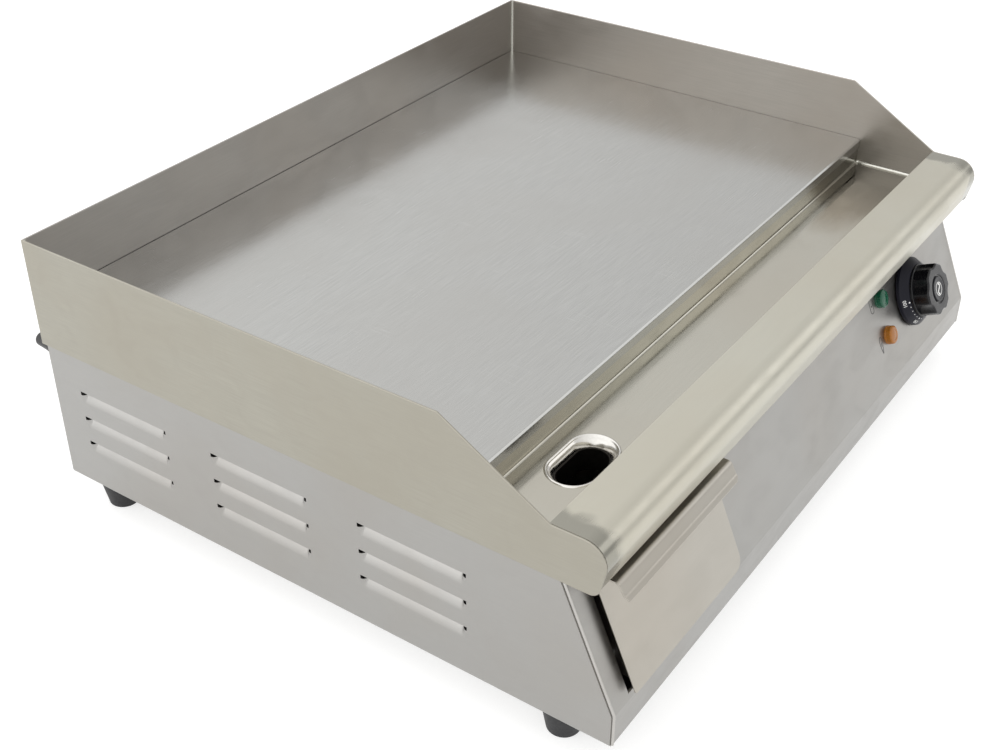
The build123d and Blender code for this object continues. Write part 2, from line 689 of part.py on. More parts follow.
def lamp_body(height):
    """Lamp holder that passes through the panel behind its lens."""
    body = Pos(0, 0, -LAMP_BODY_LENGTH / 2) * Cylinder(LAMP_BODY_R, LAMP_BODY_LENGTH)
    for side in (-1, 1):
        place = Pos(side * LAMP_BLADE_X, 0, -LAMP_BODY_LENGTH - LAMP_BLADE[2] / 2)
        body += place * Box(*LAMP_BLADE)
    return on_panel(LAMP_X, height) * body


def lamp_nuts():
    """Push-on rings that hold the two lamps behind the panel."""
    outline = Circle(LAMP_NUT_R) - Circle(LAMP_BODY_R)
    ring = Pos(0, 0, -SHEET - LAMP_NUT_HEIGHT) * extrude(outline, LAMP_NUT_HEIGHT)
    heights = (GREEN_LAMP_HEIGHT, AMBER_LAMP_HEIGHT)
    return Compound([on_panel(LAMP_X, height) * ring for height in heights])


# ---------------------------------------------------------------- heating under the plate
ELEMENT_HEIGHT = PLATE_BOTTOM - GAP - ELEMENT_R
ELEMENT_END = 119.0
PIN_END = 106.0
BAR_TOP = ELEMENT_HEIGHT - ELEMENT_R - GAP
BAR_SIZE = (20.0, 3.0)
STUD_R = 3.0
STUD_END = 134.5
INSULATION = (122.0, 134.0)
SHIELD_TOP = INSULATION[0]
BULB_R = 3.0
BULB_HEIGHT = PLATE_BOTTOM - GAP - BULB_R
CAPILLARY_R = 1.0
ELEMENT_DROP_R = 9.0
ELEMENT_CLEARANCE = 0.1
PIN_R = 2.0
BEAD_R = 3.9
BEAD_HEIGHT = 5.0
BAR_DEPTHS = (18.0, 322.0)
STUD_CLEARANCE = 0.3
CLAMP_NUT = (10.0, 4.5)
PASSAGE_HEIGHTS = (100.0, 140.0)
PASSAGE_R = ELEMENT_R + 1.5
CAPILLARY_PASSAGE_R = 2.5
BLANKET_X = (-256.0, 256.0)
BLANKET_DEPTHS = (18.0, 330.0)
SHIELD_X = (-268.0, 268.0)
SHIELD_DEPTHS = (16.0, 332.0)
SUPPORT_DEPTHS = (14.0, 332.0)
SUPPORT_TOP_FLANGE = 15.0
SUPPORT_LOW_FLANGE = 14.0
RISER_R = 3.0


def heating_element(legs):
    """Tubular hairpin under the plate, its two ends turned down to the terminals."""
    turn_r = (legs[1] - legs[0]) / 2 - ELEMENT_CLEARANCE
    points = (
        (ELEMENT_TERMINAL_X, legs[0], ELEMENT_END),
        (ELEMENT_TERMINAL_X, legs[0], ELEMENT_HEIGHT),
        (ELEMENT_TURN_X, legs[0], ELEMENT_HEIGHT),
        (ELEMENT_TURN_X, legs[1], ELEMENT_HEIGHT),
        (ELEMENT_TERMINAL_X, legs[1], ELEMENT_HEIGHT),
        (ELEMENT_TERMINAL_X, legs[1], ELEMENT_END),
    )
    return tube(points, (ELEMENT_DROP_R, turn_r, turn_r, ELEMENT_DROP_R), ELEMENT_R)


def element_pins():
    """Threaded terminal pins at the heating elements' ends, each in its ceramic bead."""
    length = ELEMENT_END - PIN_END
    pin = Pos(0, 0, -length / 2) * Cylinder(PIN_R, length)
    places = [Pos(ELEMENT_TERMINAL_X, y_at(leg), ELEMENT_END) for leg in ELEMENT_LEGS]
    return Compound([place * pin for place in places])


def element_beads():
    """Ceramic beads round the terminal pins."""
    bead = Pos(0, 0, -BEAD_HEIGHT) * extrude(Circle(BEAD_R) - Circle(PIN_R), BEAD_HEIGHT)
    places = [Pos(ELEMENT_TERMINAL_X, y_at(leg), ELEMENT_END) for leg in ELEMENT_LEGS]
    return Compound([place * bead for place in places])


def clamp_bars():
    """Flat bars that press the heating elements up against the plate."""
    width, thickness = BAR_SIZE
    bar_r = STUD_R + STUD_CLEARANCE
    bars = []
    for x in CLAMP_BAR_X:
        bar = block((x - width / 2, x + width / 2), BAR_DEPTHS, (BAR_TOP - thickness, BAR_TOP))
        for depth in CLAMP_STUD_DEPTHS:
            bar -= hole(x, depth, bar_r, BAR_TOP - 2 * thickness, BAR_TOP + thickness)
        bars.append(bar)
    return Compound(bars)


def plate_studs():
    """Studs welded under the plate for the clamp bars."""
    length = PLATE_BOTTOM - STUD_END
    stud = Pos(0, 0, -length / 2) * Cylinder(STUD_R, length)
    places = [(x, depth) for x in CLAMP_BAR_X for depth in CLAMP_STUD_DEPTHS]
    return Compound([Pos(x, y_at(depth), PLATE_BOTTOM) * stud for x, depth in places])


def clamp_nuts():
    """Nuts under the clamp bars."""
    nut = Pos(0, 0, -CLAMP_NUT[1]) * hex_nut(*CLAMP_NUT, STUD_R)
    places = [(x, depth) for x in CLAMP_BAR_X for depth in CLAMP_STUD_DEPTHS]
    return Compound([Pos(x, y_at(d), BAR_TOP - BAR_SIZE[1]) * nut for x, d in places])


def terminal_passages():
    """Cutters where the elements' ends and the capillaries go down through a layer."""
    places = [(ELEMENT_TERMINAL_X, leg, PASSAGE_R) for leg in ELEMENT_LEGS]
    places.append((CAPILLARY_DROP_X, BULB_DEPTH, CAPILLARY_PASSAGE_R))
    places.append((LIMIT_DROP_X, LIMIT_BULB_DEPTH, CAPILLARY_PASSAGE_R))
    return [hole(x, depth, radius, *PASSAGE_HEIGHTS) for x, depth, radius in places]


def insulation_blanket():
    """Mineral fibre blanket under the heating elements."""
    blanket = block(BLANKET_X, BLANKET_DEPTHS, INSULATION)
    for cutter in terminal_passages():
        blanket -= cutter
    return blanket


def heat_shield():
    """Sheet tray that carries the insulation, hung between the plate's supports."""
    back, front = SHIELD_DEPTHS
    shield = block(SHIELD_X, SHIELD_DEPTHS, (SHIELD_TOP - SHEET, SHIELD_TOP))
    for depth in ((back, back + SHEET), (front - SHEET, front)):
        shield += block(BLANKET_X, depth, (SHIELD_TOP, INSULATION[1]))
    for cutter in terminal_passages():
        shield -= cutter
    return shield


def plate_support():
    """Left channel inside the casing: its top flange carries the plate, its lower the shield."""
    x_out = -BODY_INNER + GAP
    bottom = SHIELD_TOP - 2 * SHEET
    top_x = (x_out, x_out + SUPPORT_TOP_FLANGE)
    low_x = (x_out, x_out + SUPPORT_LOW_FLANGE)
    web = block((x_out, x_out + SHEET), SUPPORT_DEPTHS, (bottom, PLATE_BOTTOM))
    top = block(top_x, SUPPORT_DEPTHS, (PLATE_BOTTOM - SHEET, PLATE_BOTTOM))
    low = block(low_x, SUPPORT_DEPTHS, (bottom, bottom + SHEET))
    return web + top + low


# ---------------------------------------------------------------- sensing bulbs
BULB_DEPTH = 170.0
LIMIT_BULB_DEPTH = 116.0
CAPILLARY_DROP_X = 245.0
LIMIT_DROP_X = -253.0
BULB_X = (100.0, 190.0)
LIMIT_BULB_X = (-200.0, -110.0)
CAPILLARY_BEND_R = 8.0
CAPILLARY_LONG_BEND_R = 20.0
CAPILLARY_RUN_HEIGHT = 108.0
CAPILLARY_FRONT = (340.0, 100.0)
CAPILLARY_UP = 8.0
LEAD_OUT = 25.0
CUT_OUT_X = (-236.0, -204.0)
CUT_OUT_FRONT = 32.0
CUT_OUT_HEIGHTS = (70.0, 100.0)
CUT_OUT_CORNER_R = 2.0
CUT_OUT_TUBE_HEIGHT = 88.0
CUT_OUT_TUBE_FRONT = 80.0


def thermostat_bulb():
    """Thermostat's sensing bulb, lying against the plate's underside."""
    low = Vector(BULB_X[0], y_at(BULB_DEPTH), BULB_HEIGHT)
    return Solid.make_cylinder(BULB_R, BULB_X[1] - BULB_X[0], Plane(low, z_dir=(1, 0, 0)))


def behind_thermostat(x, up, away):
    """Point this far behind the thermostat's back, as (x, depth, height)."""
    back = -SHEET - THERMOSTAT_PLATE - THERMOSTAT_SIZE[2]
    place = (on_panel(KNOB_X, KNOB_HEIGHT) * Pos(x, up, back - away)).position
    return (place.X, BACK_FACE_Y - place.Y, place.Z)


def thermostat_capillary():
    """Fine tube from the sensing bulb down and forward to the thermostat's back."""
    points = (
        (BULB_X[1], BULB_DEPTH, BULB_HEIGHT),
        (CAPILLARY_DROP_X, BULB_DEPTH, BULB_HEIGHT),
        (CAPILLARY_DROP_X, BULB_DEPTH, CAPILLARY_RUN_HEIGHT),
        (CAPILLARY_DROP_X, *CAPILLARY_FRONT),
        behind_thermostat(0, CAPILLARY_UP, LEAD_OUT),
        behind_thermostat(0, CAPILLARY_UP, 0),
    )
    bend = CAPILLARY_BEND_R
    return tube(points, (bend, bend, CAPILLARY_LONG_BEND_R, bend), CAPILLARY_R)


def limit_thermostat():
    """Over-temperature cut-out on the back panel's inner side."""
    case = block(CUT_OUT_X, (BODY_BACK + SHEET, CUT_OUT_FRONT), CUT_OUT_HEIGHTS)
    return fillet(case.edges().filter_by(Axis.Y), CUT_OUT_CORNER_R)


def limit_bulb():
    """Cut-out's sensing bulb and fine tube."""
    low = Vector(LIMIT_BULB_X[0], y_at(LIMIT_BULB_DEPTH), BULB_HEIGHT)
    length = LIMIT_BULB_X[1] - LIMIT_BULB_X[0]
    bulb = Solid.make_cylinder(BULB_R, length, Plane(low, z_dir=(1, 0, 0)))
    case_x = sum(CUT_OUT_X) / 2
    points = (
        (LIMIT_BULB_X[0], LIMIT_BULB_DEPTH, BULB_HEIGHT),
        (LIMIT_DROP_X, LIMIT_BULB_DEPTH, BULB_HEIGHT),
        (LIMIT_DROP_X, LIMIT_BULB_DEPTH, CAPILLARY_RUN_HEIGHT),
        (case_x, CUT_OUT_TUBE_FRONT, CUT_OUT_TUBE_HEIGHT),
        (case_x, CUT_OUT_FRONT, CUT_OUT_TUBE_HEIGHT),
    )
    return bulb + tube(points, (CAPILLARY_BEND_R,) * 3, CAPILLARY_R)


# ---------------------------------------------------------------- mains connection
GLAND_THREAD_R = 6.0
GLAND_INSIDE = 6.0
GLAND_PROFILE = (
    (CORD_BORE_R, -GLAND_INSIDE),
    (GLAND_THREAD_R, -GLAND_INSIDE),
    (GLAND_THREAD_R, 0.0),
    (7.6, 0.0),
    (7.6, 3.5),
    (6.6, 4.5),
    (6.2, 14.0),
    (5.4, 19.0),
    (4.8, 26.0),
    (CORD_BORE_R, 26.8),
)
LOCKNUT = (15.0, 3.0)
TERMINAL_X = (-205.0, -145.0)
TERMINAL_DEPTHS = (40.0, 62.0)
TERMINAL_HEIGHT = 18.0
POLE_COUNT = 5
POLE_FIRST_X = -199.0
POLE_PITCH = 12.0
POLE_DEPTH = 51.0
POLE_WELL_R = 2.5
POLE_WELL_DEPTH = 8.0
POLE_SCREW_LENGTH = 3.0
POLE_SCREW_R = 1.8
POLE_SCREW_HEAD = (2.4, 1.6)
EARTH_X = -225.0
EARTH_DEPTH = 90.0
EARTH_BOLT_R = 2.5
EARTH_BOLT_LENGTH = 16.0
EARTH_NUT = (8.0, 4.0)
EARTH_NUT_LIFT = 3.0
LOOM_HEIGHT = BASE_TOP + 8.0
LOOM_R = 3.5
LOOM_PATH = (
    (TERMINAL_X[1], POLE_DEPTH, LOOM_HEIGHT),
    (-100.0, POLE_DEPTH, LOOM_HEIGHT),
    (-60.0, 120.0, LOOM_HEIGHT),
    (60.0, 300.0, LOOM_HEIGHT),
    (150.0, 345.0, LOOM_HEIGHT + 2.0),
)
LOOM_BENDS = (20.0, 40.0, 40.0, 20.0, 10.0)
RISER_PATH = (
    (ELEMENT_TERMINAL_X, 330.0, 85.0),
    (ELEMENT_TERMINAL_X, 285.0, PIN_END - RISER_R - GAP),
    (ELEMENT_TERMINAL_X, 30.0, PIN_END - RISER_R - GAP),
)
RISER_BENDS = (10.0, 14.0, 14.0)
LEAD_OFFSET = 10.0


def turned_along_y(profile, x, depth, height):
    """Solid turned about Y from (radius, distance behind the back panel) points."""
    face = Plane.XZ * make_face(Polyline(*profile, close=True))
    solid = revolve(face, Axis.Z)
    return Pos(x, y_at(depth), height) * Rot(-90, 0, 0) * solid


def cable_gland():
    """Gland for the mains cord: thread through the panel, collar, domed nut and nose."""
    return turned_along_y(GLAND_PROFILE, GLAND_X, BODY_BACK, GLAND_HEIGHT)


def gland_locknut():
    """Locknut that holds the gland from inside the back panel."""
    nut = Rot(90, 0, 0) * hex_nut(*LOCKNUT, GLAND_THREAD_R)
    return Pos(GLAND_X, y_at(BODY_BACK + SHEET), GLAND_HEIGHT) * nut


def terminal_block():
    """Mains terminal block standing on the base plate."""
    case = block(TERMINAL_X, TERMINAL_DEPTHS, (BASE_TOP, BASE_TOP + TERMINAL_HEIGHT))
    well_bottom = BASE_TOP + TERMINAL_HEIGHT - POLE_WELL_DEPTH
    for x in pole_places():
        case -= hole(x, POLE_DEPTH, POLE_WELL_R, well_bottom, BASE_TOP + 2 * TERMINAL_HEIGHT)
    return case


def pole_places():
    """X of each pole of the terminal block."""
    return [POLE_FIRST_X + pole * POLE_PITCH for pole in range(POLE_COUNT)]


def terminal_screws():
    """Brass clamp screws in the terminal block."""
    screw = pan_screw(POLE_SCREW_R, POLE_SCREW_LENGTH, *POLE_SCREW_HEAD)
    height = BASE_TOP + TERMINAL_HEIGHT - POLE_WELL_DEPTH + POLE_SCREW_LENGTH
    return Compound([Pos(x, y_at(POLE_DEPTH), height) * screw for x in pole_places()])


def earth_stud():
    """Earth bolt and nut on the base plate beside the terminal block."""
    bolt = Pos(0, 0, EARTH_BOLT_LENGTH / 2) * Cylinder(EARTH_BOLT_R, EARTH_BOLT_LENGTH)
    nut = Pos(0, 0, EARTH_NUT_LIFT) * hex_nut(*EARTH_NUT, EARTH_BOLT_R)
    return Pos(EARTH_X, y_at(EARTH_DEPTH), BASE_TOP) * (bolt + nut)


def wiring_loom():
    """Wire bundles: mains block to thermostat, and thermostat up to the element terminals."""
    feed = (
        *LOOM_PATH,
        behind_thermostat(-LEAD_OFFSET, -LEAD_OFFSET, LEAD_OUT),
        behind_thermostat(-LEAD_OFFSET, -LEAD_OFFSET, 0),
    )
    riser = (
        behind_thermostat(LEAD_OFFSET, -LEAD_OFFSET, 0),
        behind_thermostat(LEAD_OFFSET, -LEAD_OFFSET, LEAD_OUT),
        *RISER_PATH,
    )
    return Compound([tube(feed, LOOM_BENDS, LOOM_R), tube(riser, RISER_BENDS, RISER_R)])


# ---------------------------------------------------------------- build every node
left_support = plate_support()
left_panel = side_panel()
left_guard = guard_side()
NODES = {
    "guard_left": left_guard,
    "guard_right": mirrored(left_guard),
    "guard_back": guard_back(),
    "front_rail": front_rail(),
    "griddle_plate": griddle_plate(),
    "grease_trough": grease_trough(),
    "drain_spout": drain_spout(),
    "side_panel_left": left_panel,
    "side_panel_right": mirrored(left_panel),
    "back_panel": back_panel(),
    "front_panel": front_panel(),
    "base_plate": base_plate(),
    "foot_screws": foot_screws(),
    "foot_nuts": foot_nuts(),
    "back_panel_screws": back_panel_screws(),
    "base_plate_screws": base_plate_screws(),
    "drawer_face": drawer_face(),
    "drawer_pull": drawer_pull(),
    "drawer_tray": drawer_tray(),
    "drawer_runner_left": drawer_runner(-1),
    "drawer_runner_right": drawer_runner(1),
    "knob_skirt": knob_skirt(),
    "knob_grip": knob_grip(),
    "knob_cap": knob_cap(),
    "thermostat_shaft": thermostat_shaft(),
    "thermostat_body": thermostat_body(),
    "thermostat_screws": thermostat_screws(),
    "thermostat_bulb": thermostat_bulb(),
    "thermostat_capillary": thermostat_capillary(),
    "limit_thermostat": limit_thermostat(),
    "limit_bulb": limit_bulb(),
    "green_lens": lamp_lens(GREEN_LAMP_HEIGHT),
    "amber_lens": lamp_lens(AMBER_LAMP_HEIGHT),
    "green_lamp_body": lamp_body(GREEN_LAMP_HEIGHT),
    "amber_lamp_body": lamp_body(AMBER_LAMP_HEIGHT),
    "lamp_nuts": lamp_nuts(),
    "element_pins": element_pins(),
    "element_beads": element_beads(),
    "clamp_bars": clamp_bars(),
    "plate_studs": plate_studs(),
    "clamp_nuts": clamp_nuts(),
    "insulation_blanket": insulation_blanket(),
    "heat_shield": heat_shield(),
    "plate_support_left": left_support,
    "plate_support_right": mirrored(left_support),
    "cable_gland": cable_gland(),
    "gland_locknut": gland_locknut(),
    "terminal_block": terminal_block(),
    "terminal_screws": terminal_screws(),
    "earth_stud": earth_stud(),
    "wiring_loom": wiring_loom(),
}
for name, x, depth in foot_places():
    NODES[name] = foot(x, depth)
for number, pair in enumerate(zip(ELEMENT_LEGS[::2], ELEMENT_LEGS[1::2]), start=1):
    NODES[f"heating_element_{number}"] = heating_element(pair)

for name, part in NODES.items():
    export_step(part, f"parts/{name}.step")

whole = Compound([part for part in NODES.values()]).bounding_box()
print("overall", whole.min, whole.max, "nodes", len(NODES))
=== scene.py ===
"""Looks of a countertop electric griddle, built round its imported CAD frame.

Sizes are millimetres in the part's own frame until a mesh is made: X to the right, Z up, and a
depth is a distance in front of the splash guard's back face, as in the part's source.
"""

import logging
import math
from dataclasses import dataclass
from enum import Enum
from typing import ClassVar, Sequence

import bmesh
import bpy
import numpy as np
from mathutils import Matrix, Vector


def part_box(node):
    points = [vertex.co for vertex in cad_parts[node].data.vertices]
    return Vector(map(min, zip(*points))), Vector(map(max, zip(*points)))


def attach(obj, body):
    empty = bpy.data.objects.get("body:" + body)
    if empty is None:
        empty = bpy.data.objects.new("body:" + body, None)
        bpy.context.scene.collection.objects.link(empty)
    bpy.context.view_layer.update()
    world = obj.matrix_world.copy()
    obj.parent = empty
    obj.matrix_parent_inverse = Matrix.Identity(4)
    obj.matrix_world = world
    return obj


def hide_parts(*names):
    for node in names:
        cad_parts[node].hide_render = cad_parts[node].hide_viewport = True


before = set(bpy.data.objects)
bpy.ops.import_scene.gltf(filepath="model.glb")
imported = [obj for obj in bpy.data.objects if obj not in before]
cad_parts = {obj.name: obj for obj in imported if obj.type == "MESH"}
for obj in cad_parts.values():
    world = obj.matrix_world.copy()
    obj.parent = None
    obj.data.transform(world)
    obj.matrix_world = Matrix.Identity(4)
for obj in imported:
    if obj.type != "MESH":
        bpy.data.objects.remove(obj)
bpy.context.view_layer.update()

LOG = logging.getLogger("griddle")
METRES = 0.001
TURN = 2.0 * math.pi
MERGE_DISTANCE = 1e-7
SHARP_ANGLE = math.radians(32.0)
FLAT_FACE_WEIGHT = 60
SLOT_STEPS = 20
PRINT_HALF_THICKNESS = 0.03
PRINT_SPREAD = 0.03
PRINT_LIFT = 0.04
MOST = (0.3, 0.7)
WHOLE = (0.0, 1.0)

Array = np.ndarray
Colour = tuple[float, float, float]
Socket = bpy.types.NodeSocket


class Side(Enum):
    """Left or right of the griddle, as the sign of X."""

    LEFT = -1
    RIGHT = 1


class Grain(Enum):
    """Direction that a finish's fine lines run in, as a stretch of the object's coordinates."""

    ALONG_X = (0.025, 1.0, 1.0)
    ALONG_Y = (1.0, 0.025, 1.0)
    NONE = (1.0, 1.0, 1.0)


class Body(Enum):
    """Moving bodies of the frame that new pieces ride on."""

    GRIDDLE = "griddle"
    DRAWER = "drawer"
    KNOB = "knob"


# ------------------------------------------------------------------ surfaces
@dataclass
class Surface:
    """Points in millimetres, one row of X, Y, Z each, with arrays of faces between them."""

    points: Array
    faces: list[Array]

    def __add__(self, other: "Surface") -> "Surface":
        """This surface and another one as a single surface."""
        shifted = [block + len(self.points) for block in other.faces]
        return Surface(np.concatenate([self.points, other.points]), self.faces + shifted)


def lattice(rows: int, columns: int, ring_rows: bool = False, ring_columns: bool = False) -> Array:
    """Quads of a lattice whose point (r, c) has the number r * columns + c.

    Each quad joins a point to the ones at r + 1 and c + 1.

    Args:
        rows: Number of rows of points.
        columns: Number of points in a row.
        ring_rows: Whether the last row joins the first.
        ring_columns: Whether the last column joins the first.

    Returns:
        One row of four point numbers for each quad.
    """
    row = np.arange(rows if ring_rows else rows - 1)
    column = np.arange(columns if ring_columns else columns - 1)
    row, column = np.meshgrid(row, column, indexing="ij")
    below, beside = (row + 1) % rows, (column + 1) % columns
    quads = [row * columns + column, below * columns + column,
             below * columns + beside, row * columns + beside]
    return np.stack(quads, -1).reshape(-1, 4)


def at_depth(depth: Array | float) -> Array | float:
    """Y of a place this far in front of the guard's back face: Y falls as the depth grows."""
    return BACK_FACE_Y - depth


def rounded(corners: Array, radii: Sequence[float], closed: bool = False, steps: int = 9) -> Array:
    """Flat path whose corners are turned into arcs.

    The arc at a corner starts and ends radius / tan(half the corner's angle) from it, and its
    points are the two end radii blended by sin((1 - t) a) and sin(t a) over sin(a).

    Args:
        corners: Rows of two coordinates.
        radii: Radius at each corner, zero for a sharp one.
        closed: Whether the path returns to its first corner.
        steps: Points along each arc.

    Returns:
        Rows of two coordinates along the path.
    """
    corners = np.asarray(corners, float)
    count = len(corners)
    pieces = []
    share = np.linspace(0.0, 1.0, steps)[:, None]
    for index, radius in enumerate(radii):
        corner = corners[index]
        if radius <= 0 or (not closed and index in (0, count - 1)):
            pieces.append(corner[None])
            continue
        back = corners[index - 1] - corner
        ahead = corners[(index + 1) % count] - corner
        back, ahead = back / np.linalg.norm(back), ahead / np.linalg.norm(ahead)
        half = math.acos(np.clip(back @ ahead, -1, 1)) / 2
        middle = corner + (back + ahead) / np.linalg.norm(back + ahead) * radius / math.sin(half)
        reach = radius / math.tan(half)
        first, last = corner + back * reach - middle, corner + ahead * reach - middle
        sweep = math.pi - 2 * half
        blend = np.sin((1 - share) * sweep) * first + np.sin(share * sweep) * last
        pieces.append(middle + blend / math.sin(sweep))
    return np.concatenate(pieces)


def offset_path(path: Array, distance: float) -> Array:
    """Path moved to its right-hand side, with mitred corners.

    Each point moves along the sum of its two runs' normals over 1 + their dot product.

    Args:
        path: Rows of two coordinates.
        distance: How far the path moves.

    Returns:
        The moved path, point for point.
    """
    run = np.diff(path, axis=0)
    run /= np.linalg.norm(run, axis=1)[:, None]
    normal = np.column_stack([run[:, 1], -run[:, 0]])
    before = np.vstack([normal[:1], normal])
    after = np.vstack([normal, normal[-1:]])
    mitre = (before + after) / (1.0 + (before * after).sum(1))[:, None]
    return path + mitre * distance


def sheet_outline(path: Array, thickness: float) -> Array:
    """Closed side view of a bent sheet: its outer path and the inner one back again."""
    return np.concatenate([path, offset_path(path, thickness)[::-1]])


def prism(outline: Array, low: float, high: float) -> Surface:
    """Closed side view carried straight along X.

    Args:
        outline: Rows of depth and height.
        low: X of the first end.
        high: X of the second end.

    Returns:
        The solid, with a face at each end.
    """
    count = len(outline)
    ends = [np.column_stack([np.full(count, x), at_depth(outline[:, 0]), outline[:, 1]])
            for x in (low, high)]
    ring = np.arange(count)
    return Surface(np.concatenate(ends),
                   [lattice(2, count, ring_columns=True), ring[None, ::-1], ring[None] + count])


def slab(x: tuple[float, float], depth: tuple[float, float], height: tuple[float, float]) -> Surface:
    """Flat plate between two X, two depths and two heights."""
    corners = [(depth[0], height[0]), (depth[1], height[0]),
               (depth[1], height[1]), (depth[0], height[1])]
    return prism(np.array(corners), *x)


def turned(profile: Array, steps: int = 96, ring: bool = True,
           swell: Array | None = None) -> Surface:
    """Profile of (radius, height) rows turned about Z.

    A point stands at (r cos a, r sin a, h), and r may be scaled by swell for each row and angle.

    Args:
        profile: Rows of radius and height.
        steps: Number of angles in the full turn.
        ring: Whether the profile closes on itself.
        swell: Optional factors with one row for each profile row and a column for each angle.

    Returns:
        The turned surface.
    """
    profile = np.asarray(profile, float)
    angle = np.arange(steps) / steps * TURN
    radius = np.repeat(profile[:, :1], steps, 1)
    if swell is not None:
        radius = radius * swell
    height = np.repeat(profile[:, 1:], steps, 1)
    points = np.stack([radius * np.cos(angle), radius * np.sin(angle), height], -1)
    return Surface(points.reshape(-1, 3), [lattice(len(profile), steps, ring, True)])


def disc(radius: float, low: float, high: float, steps: int = 24) -> Surface:
    """Thin round plate about Z between two heights, closed to a pole on both faces."""
    return turned(np.array([(0, low), (radius, low), (radius, high), (0, high)]), steps, False)


def rod(path: Array, x: float, radius: float, steps: int = 16) -> Surface:
    """Round bar at one x along a path of depths and heights, n being the path's normal.

    Its rings are x + r cos(a) across and path + n r sin(a) in the side view.

    Args:
        path: Depth and height of each place along the bar.
        x: Place of the bar's axis across the griddle.
        radius: Bar's radius.
        steps: Points round each ring.

    Returns:
        The bar with both ends closed.
    """
    normal = path - offset_path(path, 1.0)
    angle = np.arange(steps) / steps * TURN
    side_view = path[:, None] + normal[:, None] * (radius * np.sin(angle))[None, :, None]
    across = np.tile(x + radius * np.cos(angle), (len(path), 1))
    points = np.stack([across, at_depth(side_view[..., 0]), side_view[..., 1]], -1)
    ring = np.arange(steps)
    faces = [lattice(len(path), steps, False, True), ring[None, ::-1],
             ring[None] + (len(path) - 1) * steps]
    return Surface(points.reshape(-1, 3), faces)


def ribbon(path: Array, width: float, low: float, high: float, closed: bool) -> Surface:
    """Flat raised stroke along a path in a plane: four rails, left and right, low and high.

    Args:
        path: Rows of two coordinates.
        width: Width of the stroke.
        low: Height of its underside.
        high: Height of its top.
        closed: Whether the path is a loop.

    Returns:
        The stroke as a closed surface.
    """
    if closed:
        run = np.roll(path, -1, 0) - np.roll(path, 1, 0)
    else:
        run = np.gradient(path, axis=0)
    run /= np.linalg.norm(run, axis=1)[:, None]
    across = np.column_stack([run[:, 1], -run[:, 0]]) * width / 2
    rails = [(path - across, low), (path + across, low), (path + across, high), (path - across, high)]
    points = np.stack([np.column_stack([rail, np.full(len(path), level)]) for rail, level in rails], 1)
    faces = [lattice(len(path), 4, closed, True)]
    if not closed:
        start = np.arange(4)
        faces += [start[None, ::-1], start[None] + 4 * (len(path) - 1)]
    return Surface(points.reshape(-1, 3), faces)


def slot_rings(rows: Sequence[tuple[float, float, float]]) -> list[Array]:
    """Slot outlines at their heights, one for each row of length, width and height."""
    return [np.column_stack([slot_ring(length, width), np.full(2 * SLOT_STEPS, height)])
            for length, width, height in rows]


def slot_ring(length: float, width: float, steps: int = SLOT_STEPS) -> Array:
    """Outline of a slot with round ends: two half circles of half the width, length - width apart.

    Args:
        length: Length over both round ends.
        width: Width of the slot.
        steps: Points on each half circle.

    Returns:
        Rows of two coordinates round the slot.
    """
    angle = np.linspace(-math.pi / 2, math.pi / 2, steps)
    radius, shift = width / 2, (length - width) / 2
    half = np.column_stack([shift + radius * np.cos(angle), radius * np.sin(angle)])
    return np.concatenate([half, -half])


def corner_fillet(path: Array, first: Array, second: Array, size: float, steps: int = 6) -> Surface:
    """Concave bead along a corner between two faces.

    Its section runs from the corner along each face by size, and the open side is the arc
    size (1 - sin a), size (1 - cos a) along the two directions.

    Args:
        path: Points along the corner.
        first: Direction away from the corner on one face, one row for each point.
        second: Direction away from the corner on the other face.
        size: Reach of the bead along each face.
        steps: Points along the arc.

    Returns:
        The bead as a closed surface.
    """
    angle = np.linspace(0.0, math.pi / 2, steps)
    along = np.concatenate([[0.0], size * (1 - np.sin(angle))])
    up = np.concatenate([[0.0], size * (1 - np.cos(angle))])
    points = path[:, None] + first[:, None] * along[None, :, None] + second[:, None] * up[None, :, None]
    count = steps + 1
    ring = np.arange(count)
    faces = [lattice(len(path), count, False, True), ring[None, ::-1],
             ring[None] + count * (len(path) - 1)]
    return Surface(points.reshape(-1, 3), faces)


@dataclass(frozen=True)
class PanelFrame:
    """Local frame on the leaning panel: x along it, y up its slope and z straight out of it."""

    x: float
    height: float

    def put(self, surface: Surface) -> Surface:
        """Surface moved from the local frame to the griddle's: origin + x X + y slope + z normal.

        Args:
            surface: Surface in the local frame.

        Returns:
            The moved surface.
        """
        lean = PANEL.lean
        slope = np.array([0.0, math.sin(lean), math.cos(lean)])
        normal = np.array([0.0, -math.cos(lean), math.sin(lean)])
        axes = np.stack([np.array([1.0, 0.0, 0.0]), slope, normal])
        origin = np.array([self.x, at_depth(PANEL.depth(self.height)), self.height])
        return Surface(surface.points @ axes + origin, surface.faces)


@dataclass(frozen=True)
class PanelLine:
    """Side view of the control panel: a leaning face above an upright band."""

    top_depth: float = 404.8
    top_height: float = 136.6
    band_depth: float = 443.5
    bend_height: float = 48.1

    @property
    def lean(self) -> float:
        """Angle of the panel from upright."""
        return math.atan2(self.band_depth - self.top_depth, self.top_height - self.bend_height)

    def depth(self, height: Array | float, proud: float = 0.0) -> Array | float:
        """Depth of the panel's outer face at a height, plus a distance out of it."""
        fall = (self.top_height - height) * math.tan(self.lean)
        return self.top_depth + fall + proud / math.cos(self.lean)


BACK_FACE_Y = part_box("guard_back")[1].y / METRES
PANEL = PanelLine()


# ------------------------------------------------------------------ finishes
@dataclass(frozen=True)
class Pattern:
    """One noise: its cells per metre, its octaves and how far it is distorted."""

    per_metre: float
    octaves: float = 3.0
    warp: float = 0.0


